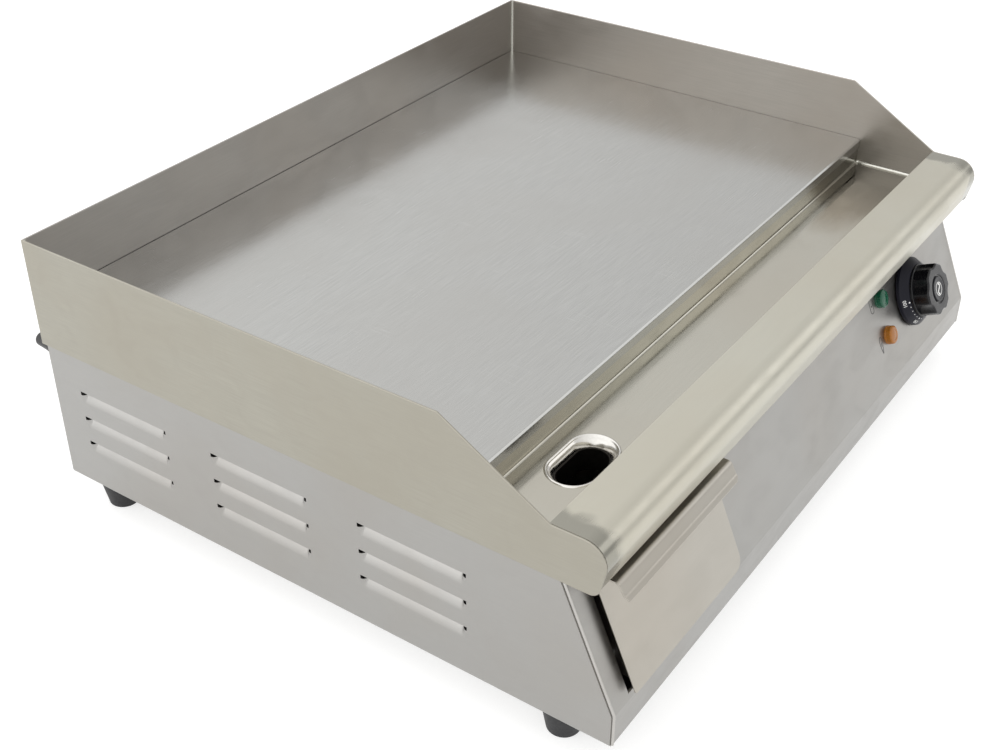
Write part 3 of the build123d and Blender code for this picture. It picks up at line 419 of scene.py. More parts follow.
class Shader:
    """A node material being wired: one Principled surface and the patterns that feed it."""

    def __init__(self, name: str) -> None:
        """Makes an empty node material.

        Args:
            name: The material's name.
        """
        self.material = bpy.data.materials.new(name)
        self.material.use_nodes = True
        self.tree = self.material.node_tree
        self.surface = self.tree.nodes["Principled BSDF"]
        self.place = self.tree.nodes.new("ShaderNodeTexCoord").outputs["Object"]

    def set(self, **values: float | tuple[float, ...]) -> None:
        """Sets the surface's own sockets, with spaces written as underscores."""
        for name, value in values.items():
            self.surface.inputs[name.replace("_", " ")].default_value = value

    def stretched(self, scale: Sequence[float], turn: float = 0.0) -> Socket:
        """Object coordinates scaled along each axis, and turned about Z.

        Args:
            scale: Factor along each axis.
            turn: Angle in radians.

        Returns:
            The Mapping node's vector.
        """
        node = self.tree.nodes.new("ShaderNodeMapping")
        node.inputs["Scale"].default_value = scale
        node.inputs["Rotation"].default_value = (0.0, 0.0, turn)
        self.tree.links.new(self.place, node.inputs["Vector"])
        return node.outputs["Vector"]

    def noise(self, vector: Socket, pattern: Pattern) -> Socket:
        """Noise value over a vector.

        Args:
            vector: Coordinates.
            pattern: Size and character of the noise.

        Returns:
            The factor socket.
        """
        node = self.tree.nodes.new("ShaderNodeTexNoise")
        node.inputs["Scale"].default_value = pattern.per_metre
        node.inputs["Detail"].default_value = pattern.octaves
        node.inputs["Distortion"].default_value = pattern.warp
        self.tree.links.new(vector, node.inputs["Vector"])
        return node.outputs["Fac"]

    def span(self, value: Socket, source: tuple[float, float], target: tuple[float, float]) -> Socket:
        """Value carried from one range to another and held inside it, smoothly at both ends.

        Args:
            value: The value.
            source: Range that it is read over.
            target: What the ends of that range become.

        Returns:
            The carried value.
        """
        node = self.tree.nodes.new("ShaderNodeMapRange")
        node.interpolation_type = "SMOOTHSTEP"
        self.tree.links.new(value, node.inputs["Value"])
        for name, number in zip(("From Min", "From Max", "To Min", "To Max"), (*source, *target)):
            node.inputs[name].default_value = number
        return node.outputs["Result"]

    def math(self, operation: str, first: Socket | float, second: Socket | float = 0.0) -> Socket:
        """Result of a Math node on sockets or numbers.

        Args:
            operation: Blender's name for the sum.
            first: First term.
            second: Second term, which some operations leave out.

        Returns:
            The result's socket.
        """
        node = self.tree.nodes.new("ShaderNodeMath")
        node.operation = operation
        for socket, value in zip(node.inputs, (first, second)):
            if isinstance(value, (int, float)):
                socket.default_value = value
            else:
                self.tree.links.new(value, socket)
        return node.outputs["Value"]

    def mix(self, factor: Socket, first: Socket | Colour, second: Socket | Colour) -> Socket:
        """Blend of two colours, each a socket or a plain linear colour.

        Args:
            factor: Share of the second colour.
            first: Colour where the factor is 0.
            second: Colour where the factor is 1.

        Returns:
            The blended colour.
        """
        node = self.tree.nodes.new("ShaderNodeMix")
        node.data_type = "RGBA"
        sockets = {socket.identifier: socket for socket in node.inputs}
        self.tree.links.new(factor, sockets["Factor_Float"])
        for socket, value in ((sockets["A_Color"], first), (sockets["B_Color"], second)):
            if isinstance(value, tuple):
                socket.default_value = (*value, 1.0)
            else:
                self.tree.links.new(value, socket)
        return next(socket for socket in node.outputs if socket.identifier == "Result_Color")

    def axis(self, name: str) -> Socket:
        """One of the object coordinates, X, Y or Z, in metres."""
        node = self.tree.nodes.new("ShaderNodeSeparateXYZ")
        self.tree.links.new(self.place, node.inputs["Vector"])
        return node.outputs[name]

    def bump(self, layers: Sequence[tuple[Socket, float]]) -> None:
        """Relief from several heights, one laid on the other.

        Args:
            layers: Each height and its depth in metres, the lowest layer first.
        """
        below = None
        for height, depth in layers:
            node = self.tree.nodes.new("ShaderNodeBump")
            node.inputs["Distance"].default_value = depth
            self.tree.links.new(height, node.inputs["Height"])
            if below is not None:
                self.tree.links.new(below, node.inputs["Normal"])
            below = node.outputs["Normal"]
        self.tree.links.new(below, self.surface.inputs["Normal"])

    def feed(self, colour: Socket, roughness: Socket) -> None:
        """Joins a colour and a roughness pattern to the surface."""
        self.tree.links.new(colour, self.surface.inputs["Base Color"])
        self.tree.links.new(roughness, self.surface.inputs["Roughness"])


def shade(colour: Colour, factor: float) -> Colour:
    """Colour made darker or lighter by a factor."""
    return tuple(min(1.0, part * factor) for part in colour)


@dataclass(frozen=True)
class SheetSteel:
    """Stainless or coated sheet: fine grain one way, faint rolling clouds, smears and hairlines."""

    name: str
    tone: Colour
    roughness: float
    grain: Grain
    grain_per_metre: float = 1400.0
    grain_depth: float = 6e-6
    wave_depth: float = 1.5e-4
    streak: float = 0.05
    cloud: float = 0.06
    smear: float = 0.06
    hairline: float = 0.0

    GRAIN_OCTAVES: ClassVar[float] = 4.0
    CLOUDS: ClassVar[Pattern] = Pattern(7.0, 4.0, 0.6)
    CLOUD_RANGE: ClassVar[tuple[float, float]] = (0.35, 0.7)
    CLOUD_COVER: ClassVar[tuple[float, float]] = (0.0, 0.75)
    CLOUD_TINT: ClassVar[Colour] = (0.6, 1.0, 1.4)
    SMEARS: ClassVar[Pattern] = Pattern(22.0, 5.0, 1.2)
    SMEAR_STRETCH: ClassVar[Colour] = (1.0, 1.6, 2.4)
    SMEAR_RANGE: ClassVar[tuple[float, float]] = (0.35, 0.75)
    GRAIN_GLOSS: ClassVar[tuple[float, float]] = (-0.03, 0.03)
    WAVES: ClassVar[Pattern] = Pattern(5.0, 1.0)
    # How dark a masked patch is painted, standing for shade or a dark reflection, and how much glossier it
    # gets.
    PAINTED_DARK_SHADE: ClassVar[float] = 0.52
    DARK_MASK_POLISH: ClassVar[float] = 0.55
    HAIRLINES: ClassVar[Pattern] = Pattern(160.0, 2.0, 0.3)
    HAIRLINE_STRETCH: ClassVar[Colour] = (1.0, 0.03, 1.0)
    HAIRLINE_TURNS: ClassVar[tuple[float, float]] = (0.5, -1.1)
    HAIRLINE_WIDTH: ClassVar[float] = 0.006
    PATCHES: ClassVar[Pattern] = Pattern(30.0, 2.0)
    PATCH_RANGE: ClassVar[tuple[float, float]] = (0.52, 0.68)
    PATCH_COVER: ClassVar[tuple[float, float]] = (0.0, 0.8)

    def build(self) -> bpy.types.Material:
        """Makes the node material.

        Returns:
            The material.
        """
        shader = Shader(self.name)
        shader.set(Metallic=1.0)
        return self.wire(shader, None)

    def wire(self, shader: Shader, painted_dark_mask: Socket | None) -> bpy.types.Material:
        """Wires the sheet's patterns.

        Args:
            shader: The material being made.
            painted_dark_mask: Optional mask, one where the colour is painted darker and the surface made
                glossier: painted shade at the trough's end, and a buffed band beside a weld painted darker
                as a reflection.

        Returns:
            The material.
        """
        lines = shader.noise(shader.stretched(self.grain.value),
                             Pattern(self.grain_per_metre, self.GRAIN_OCTAVES))
        cloud = shader.noise(shader.place, self.CLOUDS)
        smear = shader.noise(shader.stretched(self.SMEAR_STRETCH), self.SMEARS)
        grain = shader.mix(shader.span(lines, MOST, WHOLE),
                           shade(self.tone, 1 - self.streak), shade(self.tone, 1 + self.streak))
        warm = tuple(part * (1 - share * self.cloud) for part, share in zip(self.tone, self.CLOUD_TINT))
        colour = shader.mix(shader.span(cloud, self.CLOUD_RANGE, self.CLOUD_COVER), grain, warm)
        gloss = (self.roughness - self.smear / 2, self.roughness + self.smear)
        base = shader.math("ADD", shader.span(lines, MOST, self.GRAIN_GLOSS),
                           shader.span(smear, self.SMEAR_RANGE, gloss))
        layers = [(shader.noise(shader.place, self.WAVES), self.wave_depth), (lines, self.grain_depth)]
        if self.hairline:
            scratch = self.scratches(shader)
            colour = shader.mix(scratch, colour, shade(self.tone, 1 + self.hairline))
            layers.append((scratch, self.grain_depth))
        # The mask paints shade or a dark reflection into the colour, and lowers the roughness.
        if painted_dark_mask is not None:
            colour = shader.mix(painted_dark_mask, colour, shade(self.tone, self.PAINTED_DARK_SHADE))
            polish = shader.math("MULTIPLY", painted_dark_mask, self.roughness * self.DARK_MASK_POLISH)
            base = shader.math("SUBTRACT", base, polish)
        shader.feed(colour, base)
        shader.bump(layers)
        return shader.material

    def scratches(self, shader: Shader) -> Socket:
        """Sparse hairlines: a stretched noise kept only near its middle value, in two directions.

        Args:
            shader: The material being made.

        Returns:
            Mask of the hairlines.
        """
        masks = []
        for turn in self.HAIRLINE_TURNS:
            streaks = shader.noise(shader.stretched(self.HAIRLINE_STRETCH, turn), self.HAIRLINES)
            off = shader.math("ABSOLUTE", shader.math("SUBTRACT", streaks, 0.5))
            masks.append(shader.span(off, (0.0, self.HAIRLINE_WIDTH), (1.0, 0.0)))
        gate = shader.span(shader.noise(shader.place, self.PATCHES), self.PATCH_RANGE, self.PATCH_COVER)
        return shader.math("MULTIPLY", shader.math("MAXIMUM", *masks), gate)


@dataclass(frozen=True)
class WeldedRailSteel(SheetSteel):
    """Sheet steel whose two ends are buffed beside their welds, each buffed band painted darker as a
    reflection.
    """

    end_x: float = 0.2736
    buffed: float = 0.015

    EDGE_WAVE: ClassVar[Pattern] = Pattern(42.0, 2.0, 0.4)
    EDGE_RANGE: ClassVar[tuple[float, float]] = (0.25, 0.75)
    EDGE_SHIFT: ClassVar[tuple[float, float]] = (-0.005, 0.005)
    FADE: ClassVar[tuple[float, float]] = (0.006, 0.002)
    BUFFED_AND_PAINTED_DARK: ClassVar[float] = 0.85

    def build(self) -> bpy.types.Material:
        """Makes the node material, with a wavy buffed band at each end painted darker as a reflection.

        Returns:
            The material.
        """
        shader = Shader(self.name)
        shader.set(Metallic=1.0)
        inwards = shader.math("SUBTRACT", self.end_x, shader.math("ABSOLUTE", shader.axis("X")))
        wave = shader.noise(shader.place, self.EDGE_WAVE)
        edge = shader.math("ADD", inwards, shader.span(wave, self.EDGE_RANGE, self.EDGE_SHIFT))
        before, beyond = self.FADE
        band = shader.span(edge, (self.buffed - before, self.buffed + beyond), (1.0, 0.0))
        # The band is made glossier and painted darker, a painted reflection.
        return self.wire(shader, shader.math("MULTIPLY", band, self.BUFFED_AND_PAINTED_DARK))


@dataclass(frozen=True)
class PaintedShadeEndSteel(SheetSteel):
    """Sheet steel painted darker towards its right-hand end, painted shade for the dark wall reflected
    there.
    """

    painted_shade_from: float = 0.165
    painted_shade_to: float = 0.245
    painted_shade_amount: float = 1.0

    FRONT_WAVE: ClassVar[Pattern] = Pattern(18.0, 3.0, 0.6)
    FRONT_SHIFT: ClassVar[tuple[float, float]] = (-0.012, 0.012)

    def build(self) -> bpy.types.Material:
        """Makes the node material, its painted shade growing along X with a wavy front.

        Returns:
            The material.
        """
        shader = Shader(self.name)
        shader.set(Metallic=1.0)
        wave = shader.noise(shader.place, self.FRONT_WAVE)
        along = shader.math("ADD", shader.axis("X"), shader.span(wave, MOST, self.FRONT_SHIFT))
        # Painted shade, rising along X towards the right-hand end.
        darkening = shader.span(along, (self.painted_shade_from, self.painted_shade_to), (0.0, self.painted_shade_amount))
        return self.wire(shader, darkening)


@dataclass(frozen=True)
class Moulding:
    """Moulded plastic, rubber or ceramic: soft grain, faint flow marks and dust in the relief."""

    name: str
    tone: Colour
    roughness: float
    grain_per_metre: float = 900.0
    grain_depth: float = 2e-5
    dust: float = 0.35
    coat: float = 0.0
    clear: float = 0.0
    shine: float = 0.5

    COAT_ROUGHNESS: ClassVar[float] = 0.12
    PLASTIC_IOR: ClassVar[float] = 1.49
    FLOW: ClassVar[Pattern] = Pattern(60.0, 3.0, 0.8)
    FLOW_STRETCH: ClassVar[Colour] = (1.0, 1.0, 2.5)
    FLOW_RANGE: ClassVar[tuple[float, float]] = (0.42, 0.75)
    FLOW_GLOSS: ClassVar[tuple[float, float]] = (0.03, 0.05)
    DUST_TINT: ClassVar[float] = 0.05
    PALE_SHADE: ClassVar[float] = 1.08
    DARK_SHADE: ClassVar[float] = 0.8
    DARK_COVER: ClassVar[tuple[float, float]] = (0.0, 0.5)
    GRAIN_GLOSS: ClassVar[tuple[float, float]] = (-0.04, 0.04)

    def build(self) -> bpy.types.Material:
        """Makes the node material.

        Returns:
            The material.
        """
        shader = Shader(self.name)
        shader.set(Metallic=0.0, Coat_Weight=self.coat, Coat_Roughness=self.COAT_ROUGHNESS,
                   Transmission_Weight=self.clear, IOR=self.PLASTIC_IOR,
                   Specular_IOR_Level=self.shine)
        grain = shader.noise(shader.place, Pattern(self.grain_per_metre))
        flow = shader.noise(shader.stretched(self.FLOW_STRETCH), self.FLOW)
        dusty = tuple(part + self.dust * self.DUST_TINT for part in shade(self.tone, self.PALE_SHADE))
        colour = shader.mix(shader.span(flow, self.FLOW_RANGE, WHOLE), self.tone, dusty)
        dark = shade(self.tone, self.DARK_SHADE)
        colour = shader.mix(shader.span(grain, MOST, self.DARK_COVER), colour, dark)
        less, more = self.FLOW_GLOSS
        rough = shader.math("ADD", shader.span(grain, MOST, self.GRAIN_GLOSS),
                            shader.span(flow, MOST, (self.roughness - less, self.roughness + more)))
        shader.feed(colour, rough)
        shader.bump([(flow, self.grain_depth), (grain, self.grain_depth)])
        return shader.material


@dataclass(frozen=True)
class MetalPart:
    """Plated, cast or drawn metal: mottled tone, fine pits and darker tarnish."""

    name: str
    tone: Colour
    roughness: float
    tarnish: Colour
    mottle_per_metre: float = 300.0
    tarnish_amount: float = 0.5

    MOTTLE_OCTAVES: ClassVar[float] = 4.0
    MOTTLE_RANGE: ClassVar[tuple[float, float]] = (0.35, 0.65)
    MOTTLE_SHADES: ClassVar[tuple[float, float]] = (0.88, 1.08)
    MOTTLE_GLOSS: ClassVar[tuple[float, float]] = (-0.05, 0.05)
    STAINS: ClassVar[Pattern] = Pattern(40.0, 5.0, 1.0)
    STAIN_RANGE: ClassVar[tuple[float, float]] = (0.45, 0.75)
    STAIN_GLOSS: ClassVar[tuple[float, float]] = (0.04, 0.1)
    STAIN_DEPTH: ClassVar[float] = 4e-5
    MOTTLE_DEPTH: ClassVar[float] = 1.5e-5

    def build(self) -> bpy.types.Material:
        """Makes the node material.

        Returns:
            The material.
        """
        shader = Shader(self.name)
        shader.set(Metallic=1.0)
        mottle = shader.noise(shader.place, Pattern(self.mottle_per_metre, self.MOTTLE_OCTAVES))
        darkening = shader.noise(shader.place, self.STAINS)
        dark, pale = (shade(self.tone, factor) for factor in self.MOTTLE_SHADES)
        colour = shader.mix(shader.span(mottle, self.MOTTLE_RANGE, WHOLE), dark, pale)
        tarnished = shader.span(darkening, self.STAIN_RANGE, (0.0, self.tarnish_amount))
        colour = shader.mix(tarnished, colour, self.tarnish)
        less, more = self.STAIN_GLOSS
        rough = shader.math("ADD", shader.span(mottle, MOST, self.MOTTLE_GLOSS),
                            shader.span(darkening, MOST, (self.roughness - less, self.roughness + more)))
        shader.feed(colour, rough)
        shader.bump([(darkening, self.STAIN_DEPTH), (mottle, self.MOTTLE_DEPTH)])
        return shader.material


@dataclass(frozen=True)
class Fibre:
    """Mineral wool or glass sleeving: matted threads with a deep soft relief."""

    name: str
    tone: Colour
    threads_per_metre: float = 500.0

    SHEEN: ClassVar[float] = 0.3
    THREAD_WARP: ClassVar[float] = 0.5
    THREAD_STRETCHES: ClassVar[tuple[Colour, Colour]] = ((1.0, 0.15, 1.0), (0.15, 1.0, 1.0))
    THREAD_RANGE: ClassVar[tuple[float, float]] = (0.4, 0.7)
    THREAD_SHADE: ClassVar[float] = 0.7
    THREAD_GLOSS: ClassVar[tuple[float, float]] = (0.95, 0.8)
    THREAD_DEPTH: ClassVar[float] = 3e-4
    LUMPS: ClassVar[Pattern] = Pattern(45.0)
    LUMP_RANGE: ClassVar[tuple[float, float]] = (0.45, 0.75)
    LUMP_COVER: ClassVar[tuple[float, float]] = (0.0, 0.5)
    LUMP_SHADE: ClassVar[float] = 0.8
    LUMP_DEPTH: ClassVar[float] = 1.5e-3

    def build(self) -> bpy.types.Material:
        """Makes the node material.

        Returns:
            The material.
        """
        shader = Shader(self.name)
        shader.set(Metallic=0.0, Sheen_Weight=self.SHEEN)
        weave = Pattern(self.threads_per_metre, warp=self.THREAD_WARP)
        across, along = (shader.noise(shader.stretched(stretch), weave)
                         for stretch in self.THREAD_STRETCHES)
        threads = shader.math("MAXIMUM", across, along)
        lumps = shader.noise(shader.place, self.LUMPS)
        colour = shader.mix(shader.span(threads, self.THREAD_RANGE, WHOLE),
                            shade(self.tone, self.THREAD_SHADE), self.tone)
        colour = shader.mix(shader.span(lumps, self.LUMP_RANGE, self.LUMP_COVER),
                            colour, shade(self.tone, self.LUMP_SHADE))
        shader.feed(colour, shader.span(threads, MOST, self.THREAD_GLOSS))
        shader.bump([(lumps, self.LUMP_DEPTH), (threads, self.THREAD_DEPTH)])
        return shader.material


Finish = SheetSteel | Moulding | MetalPart | Fibre

# The guard is one steel: the right and back walls get lighter copies of the left wall's tone, painted light
# for how each wall is lit.
GUARD_STEEL = SheetSteel("guard_brushed_steel", (0.372, 0.357, 0.308), 0.40, Grain.ALONG_Y)
GUARD_RIGHT_LIT_STEEL = SheetSteel("guard_right_steel_painted_lighter", (0.430, 0.402, 0.368), 0.38, Grain.ALONG_Y)
GUARD_BACK_LIT_STEEL = SheetSteel("guard_back_steel_painted_lighter", (0.435, 0.415, 0.392), 0.36, Grain.ALONG_X)
RAIL_STEEL = WeldedRailSteel("rail_brushed_steel", (0.545, 0.530, 0.458), 0.36, Grain.ALONG_X,
                             streak=0.02, grain_depth=2e-6)
# Weld beads: much lighter than the guard, a painted highlight along the corners, and low roughness for
# buffed metal.
WELD_STEEL = SheetSteel("weld_steel_painted_bright", (0.62, 0.61, 0.56), 0.22, Grain.NONE, 500.0, 2e-5)
PRESSED_STEEL = SheetSteel("pressed_drain_steel", (0.680, 0.670, 0.640), 0.18, Grain.NONE, 700.0, 6e-6)
# Front corner bends: lighter than the casing, a painted highlight along the rounded bend.
EDGE_STEEL = SheetSteel("bent_edge_steel_painted_highlight", (0.500, 0.490, 0.470), 0.42, Grain.NONE, 900.0, 4e-6)
PLATE_STEEL = SheetSteel("ground_plate_steel", (0.447, 0.448, 0.434), 0.22, Grain.ALONG_X,
                         grain_per_metre=1800.0, grain_depth=3e-6, wave_depth=2e-5, streak=0.055,
                         cloud=0.03, smear=0.03, hairline=0.09)
# The trough's steel has painted shade towards its right-hand end.
TROUGH_STEEL = PaintedShadeEndSteel("trough_brushed_steel", (0.475, 0.461, 0.406), 0.18, Grain.ALONG_X,
                               streak=0.02, grain_depth=2e-6)
CASING_STEEL = SheetSteel("casing_satin_steel", (0.370, 0.364, 0.351), 0.34, Grain.ALONG_Y, streak=0.02)
PANEL_STEEL = SheetSteel("panel_satin_steel", (0.372, 0.366, 0.352), 0.36, Grain.ALONG_X, streak=0.02)
DRAWER_STEEL = SheetSteel("drawer_satin_steel", (0.450, 0.428, 0.385), 0.36, Grain.ALONG_X, streak=0.02)
# Near-black sheet lining the drain's throat: painted shade where the hole is unlit.
THROAT_SHADE_STEEL = SheetSteel("throat_painted_shade_steel", (0.035, 0.032, 0.028), 0.5, Grain.NONE)


def lens_plastic(name: str, tone: Colour) -> Moulding:
    """Tinted lens plastic: smooth, lightly coated and barely clear, with no dust."""
    return Moulding(name, tone, 0.14, grain_per_metre=700.0, grain_depth=6e-6, dust=0.0,
                    coat=0.12, clear=0.08, shine=0.4)


SLOT_FINISHES: dict[str, Finish] = {
    "brushed_guard": GUARD_STEEL,
    "polished_rail": RAIL_STEEL,
    "plate_steel": PLATE_STEEL,
    "trough_steel": TROUGH_STEEL,
    "casing_steel": CASING_STEEL,
    "drawer_steel": DRAWER_STEEL,
    "galvanised": MetalPart("galvanised_sheet", (0.50, 0.51, 0.52), 0.42, (0.34, 0.35, 0.37), 120.0),
    "zinc_fasteners": MetalPart("zinc_plating", (0.62, 0.62, 0.64), 0.28, (0.42, 0.41, 0.38)),
    "knob_black": Moulding("glossy_black_moulding", (0.004, 0.004, 0.005), 0.22,
                           coat=0.15, dust=0.02, shine=0.3),
    "knob_skirt_black": Moulding("satin_black_moulding", (0.006, 0.006, 0.012), 0.36,
                                 dust=0.03, shine=0.2),
    "knob_cap_black": Moulding("grey_black_disc", (0.014, 0.015, 0.018), 0.28, dust=0.04, shine=0.3),
    "bakelite": Moulding("dark_phenolic", (0.045, 0.038, 0.032), 0.4),
    "copper_bulb": MetalPart("drawn_copper", (0.70, 0.42, 0.28), 0.25, (0.25, 0.12, 0.08)),
    "green_lens": lens_plastic("green_lens_plastic", (0.001, 0.085, 0.040)),
    "amber_lens": lens_plastic("amber_lens_plastic", (0.350, 0.120, 0.004)),
    "lamp_holder": Moulding("white_lamp_plastic", (0.68, 0.67, 0.62), 0.45),
    "ceramic_white": Moulding("fired_steatite", (0.78, 0.75, 0.68), 0.5, 400.0, 4e-5),
    "insulation": Fibre("mineral_fibre", (0.76, 0.73, 0.64)),
    "gland_black": Moulding("black_nylon", (0.014, 0.014, 0.014), 0.38),
    "brass_parts": MetalPart("plain_brass", (0.72, 0.55, 0.25), 0.3, (0.35, 0.22, 0.08)),
    "wire_sleeve": Fibre("glass_sleeving", (0.78, 0.75, 0.66), 1400.0),
    "foot_rubber": Moulding("black_rubber", (0.008, 0.008, 0.009), 0.55, 600.0, 3e-5, 0.15),
    "element_sheath": MetalPart("heat_darkened_tube", (0.20, 0.185, 0.17), 0.45, (0.10, 0.09, 0.12)),
}
PRINT_WHITE = Moulding("white_print", (0.78, 0.78, 0.76), 0.5, 1500.0, 5e-6)
PRINT_GREY = Moulding("grey_print", (0.06, 0.06, 0.06), 0.55, 1500.0, 5e-6)
FINISHES: dict[str, bpy.types.Material] = {}


def material_of(finish: Finish) -> bpy.types.Material:
    """The finish's material, made the first time it is asked for."""
    if finish.name not in FINISHES:
        FINISHES[finish.name] = finish.build()
    return FINISHES[finish.name]


# ------------------------------------------------------------------ pieces
@dataclass(frozen=True)
class Edges:
    """How a piece's edges are finished: a rounding in millimetres and its number of steps."""

    radius: float = 0.35
    steps: int = 3


@dataclass
class Piece:
    """One new mesh of the griddle, with what it rides on, stands for and is made of."""

    name: str
    surface: Surface
    finish: Finish
    body: Body
    slot: str = ""
    stands_for: tuple[str, ...] = ()
    edges: Edges | None = None
    wall: float = 0.0

    def make(self) -> bpy.types.Object:
        """Builds the mesh, closes its seams, finishes its edges and puts it on its body.

        Returns:
            The new object.
        """
        mesh = bpy.data.meshes.new(self.name)
        faces = [face for block in self.surface.faces for face in block.tolist()]
        mesh.from_pydata((self.surface.points * METRES).tolist(), [], faces)
        self.close(mesh)
        thing = bpy.data.objects.new(self.name, mesh)
        bpy.context.scene.collection.objects.link(thing)
        self.finish_edges(thing)
        thing.data.materials.append(material_of(self.finish))
        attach(thing, self.body.value)
        if self.stands_for:
            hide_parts(*self.stands_for)
        LOG.info("%s: %d faces on %s", self.name, len(thing.data.polygons), self.body.value)
        return thing

    def close(self, mesh: bpy.types.Mesh) -> None:
        """Merges seams and poles, and turns the faces of a closed shell outwards.

        Args:
            mesh: The new mesh.
        """
        work = bmesh.new()
        work.from_mesh(mesh)
        bmesh.ops.remove_doubles(work, verts=work.verts, dist=MERGE_DISTANCE)
        if not self.wall:
            bmesh.ops.recalc_face_normals(work, faces=work.faces)
        work.to_mesh(mesh)
        work.free()

    def apply(self, thing: bpy.types.Object) -> None:
        """Works the object's modifiers into its mesh.

        Args:
            thing: The piece's object.
        """
        shaped = thing.evaluated_get(bpy.context.evaluated_depsgraph_get())
        rough, thing.data = thing.data, bpy.data.meshes.new_from_object(shaped)
        thing.modifiers.clear()
        bpy.data.meshes.remove(rough)
        thing.data.name = self.name

    def finish_edges(self, thing: bpy.types.Object) -> None:
        """Gives an open sheet its wall, rounds sharp edges, and fixes the shading by angle.

        Args:
            thing: The piece's object.
        """
        if self.wall:
            solid = thing.modifiers.new("wall", "SOLIDIFY")
            solid.thickness = self.wall * METRES
            solid.offset = -1.0
            solid.use_even_offset = True
        if self.edges:
            bevel = thing.modifiers.new("edges", "BEVEL")
            bevel.width = self.edges.radius * METRES
            bevel.segments = self.edges.steps
            bevel.limit_method = "ANGLE"
            bevel.angle_limit = SHARP_ANGLE
        self.apply(thing)
        thing.data.shade_smooth()
        thing.data.set_sharp_from_angle(angle=SHARP_ANGLE)
        weigh = thing.modifiers.new("flat_faces_first", "WEIGHTED_NORMAL")
        weigh.keep_sharp = True
        weigh.weight = FLAT_FACE_WEIGHT
        self.apply(thing)


@dataclass(frozen=True)
class SplashGuard:
    """Three-sided guard: a back wall and two side walls that end as the hand rail's caps."""

    half: float = 275.0
    sheet: float = 1.2
    top: float = 206.6
    bottom: float = 129.1
    slope_start: float = 327.7
    slope_end: float = 399.6
    rail_top: float = 164.6
    nose_depth: float = 437.5
    nose_radius: float = 14.0
    foot_depth: float = 429.69
    end_corner: float = 7.0
    plate_top: float = 160.1
    bead: float = 1.9
    bead_stop: float = 0.3
    bead_rings: int = 40
    slope_radii: tuple[float, float] = (1.5, 4.0)
    side_edges: Edges = Edges(0.5, 4)

    def side_outline(self) -> Array:
        """Side view of a side wall: level top, slope down to the rail, rounded nose and corner."""
        corners = [(0.0, self.top), (self.slope_start, self.top), (self.slope_end, self.rail_top),
                   (self.nose_depth, self.rail_top), (self.foot_depth, self.bottom), (0.0, self.bottom)]
        radii = (0, *self.slope_radii, self.nose_radius, self.end_corner, 0)
        return rounded(np.array(corners), radii, True)

    def build(self) -> list[Piece]:
        """Makes the walls and the beads in their inner corners.

        Returns:
            The guard's pieces.
        """
        inner = self.half - self.sheet
        # The back wall takes the copy of the guard's steel with a painted lighter tone.
        pieces = [Piece("guard_wall_back",
                        slab((-inner, inner), (0.0, self.sheet), (self.bottom, self.top)),
                        GUARD_BACK_LIT_STEEL, Body.GRIDDLE, "brushed_guard", ("guard_back",), Edges())]
        for side in Side:
            sign = side.value
            x = sorted((sign * inner, sign * self.half))
            name = side.name.lower()
            wall = prism(self.side_outline(), *x)
            # The right wall takes the copy of the guard's steel with a painted lighter tone.
            steel = GUARD_STEEL if side is Side.LEFT else GUARD_RIGHT_LIT_STEEL
            pieces.append(Piece(f"guard_wall_{name}", wall, steel, Body.GRIDDLE,
                                "brushed_guard", (f"guard_{name}",), self.side_edges))
            pieces.append(Piece(f"guard_corner_weld_{name}", self.corner_bead(sign * inner, -sign),
                                WELD_STEEL, Body.GRIDDLE, "brushed_guard"))
        return pieces

    def corner_bead(self, x: float, inwards: float) -> Surface:
        """Bead up the corner between the back wall and a side wall.

        Args:
            x: Inner face of the side wall.
            inwards: Sign of X towards the griddle's middle.

        Returns:
            The bead.
        """
        count = self.bead_rings
        height = np.linspace(self.plate_top, self.top - self.bead_stop, count)
        path = np.column_stack([np.full(count, x), np.full(count, at_depth(self.sheet)), height])
        across = np.tile([inwards, 0.0, 0.0], (count, 1))
        forward = np.tile([0.0, -1.0, 0.0], (count, 1))
        return corner_fillet(path, across, forward, self.bead)


@dataclass(frozen=True)
class HandRail:
    """Front rail: flat top, rounded nose, face leaning back and a return under it."""

    half: float = 273.8
    sheet: float = 1.2
    top: float = 164.6
    back: float = 398.3
    nose_depth: float = 437.5
    nose_radius: float = 14.0
    foot_depth: float = 430.9
    foot_height: float = 134.6
    under: float = 11.0
    under_radius: float = 2.5
    arc_points: int = 14
    edges: Edges = Edges(0.3, 2)

    def build(self) -> list[Piece]:
        """Makes the rail from its bent side view.

        Returns:
            The rail.
        """
        corners = [(self.back, self.top), (self.nose_depth, self.top), (self.foot_depth, self.foot_height),
                   (self.foot_depth - self.under, self.foot_height - self.sheet)]
        path = rounded(np.array(corners), (0, self.nose_radius, self.under_radius, 0),
                       steps=self.arc_points)
        rail = prism(sheet_outline(path, self.sheet), -self.half, self.half)
        return [Piece("hand_rail", rail, RAIL_STEEL, Body.GRIDDLE, "polished_rail",
                      ("front_rail",), self.edges)]


@dataclass(frozen=True)
class CookingPlate:
    """Thick flat cooking plate with an eased front edge."""

    half: float = 273.6
    back: float = 1.6
    front: float = 339.8
    top: float = 160.1
    thickness: float = 8.0
    ease: float = 1.3
    edges: Edges = Edges(0.25, 2)

    def build(self) -> list[Piece]:
        """Makes the plate.

        Returns:
            The plate.
        """
        low = self.top - self.thickness
        outline = [(self.back, low), (self.front, low), (self.front, self.top - self.ease),
                   (self.front - self.ease, self.top), (self.back, self.top)]
        plate = prism(np.array(outline), -self.half, self.half)
        return [Piece("cooking_plate", plate, PLATE_STEEL, Body.GRIDDLE, "plate_steel",
                      ("griddle_plate",), self.edges)]


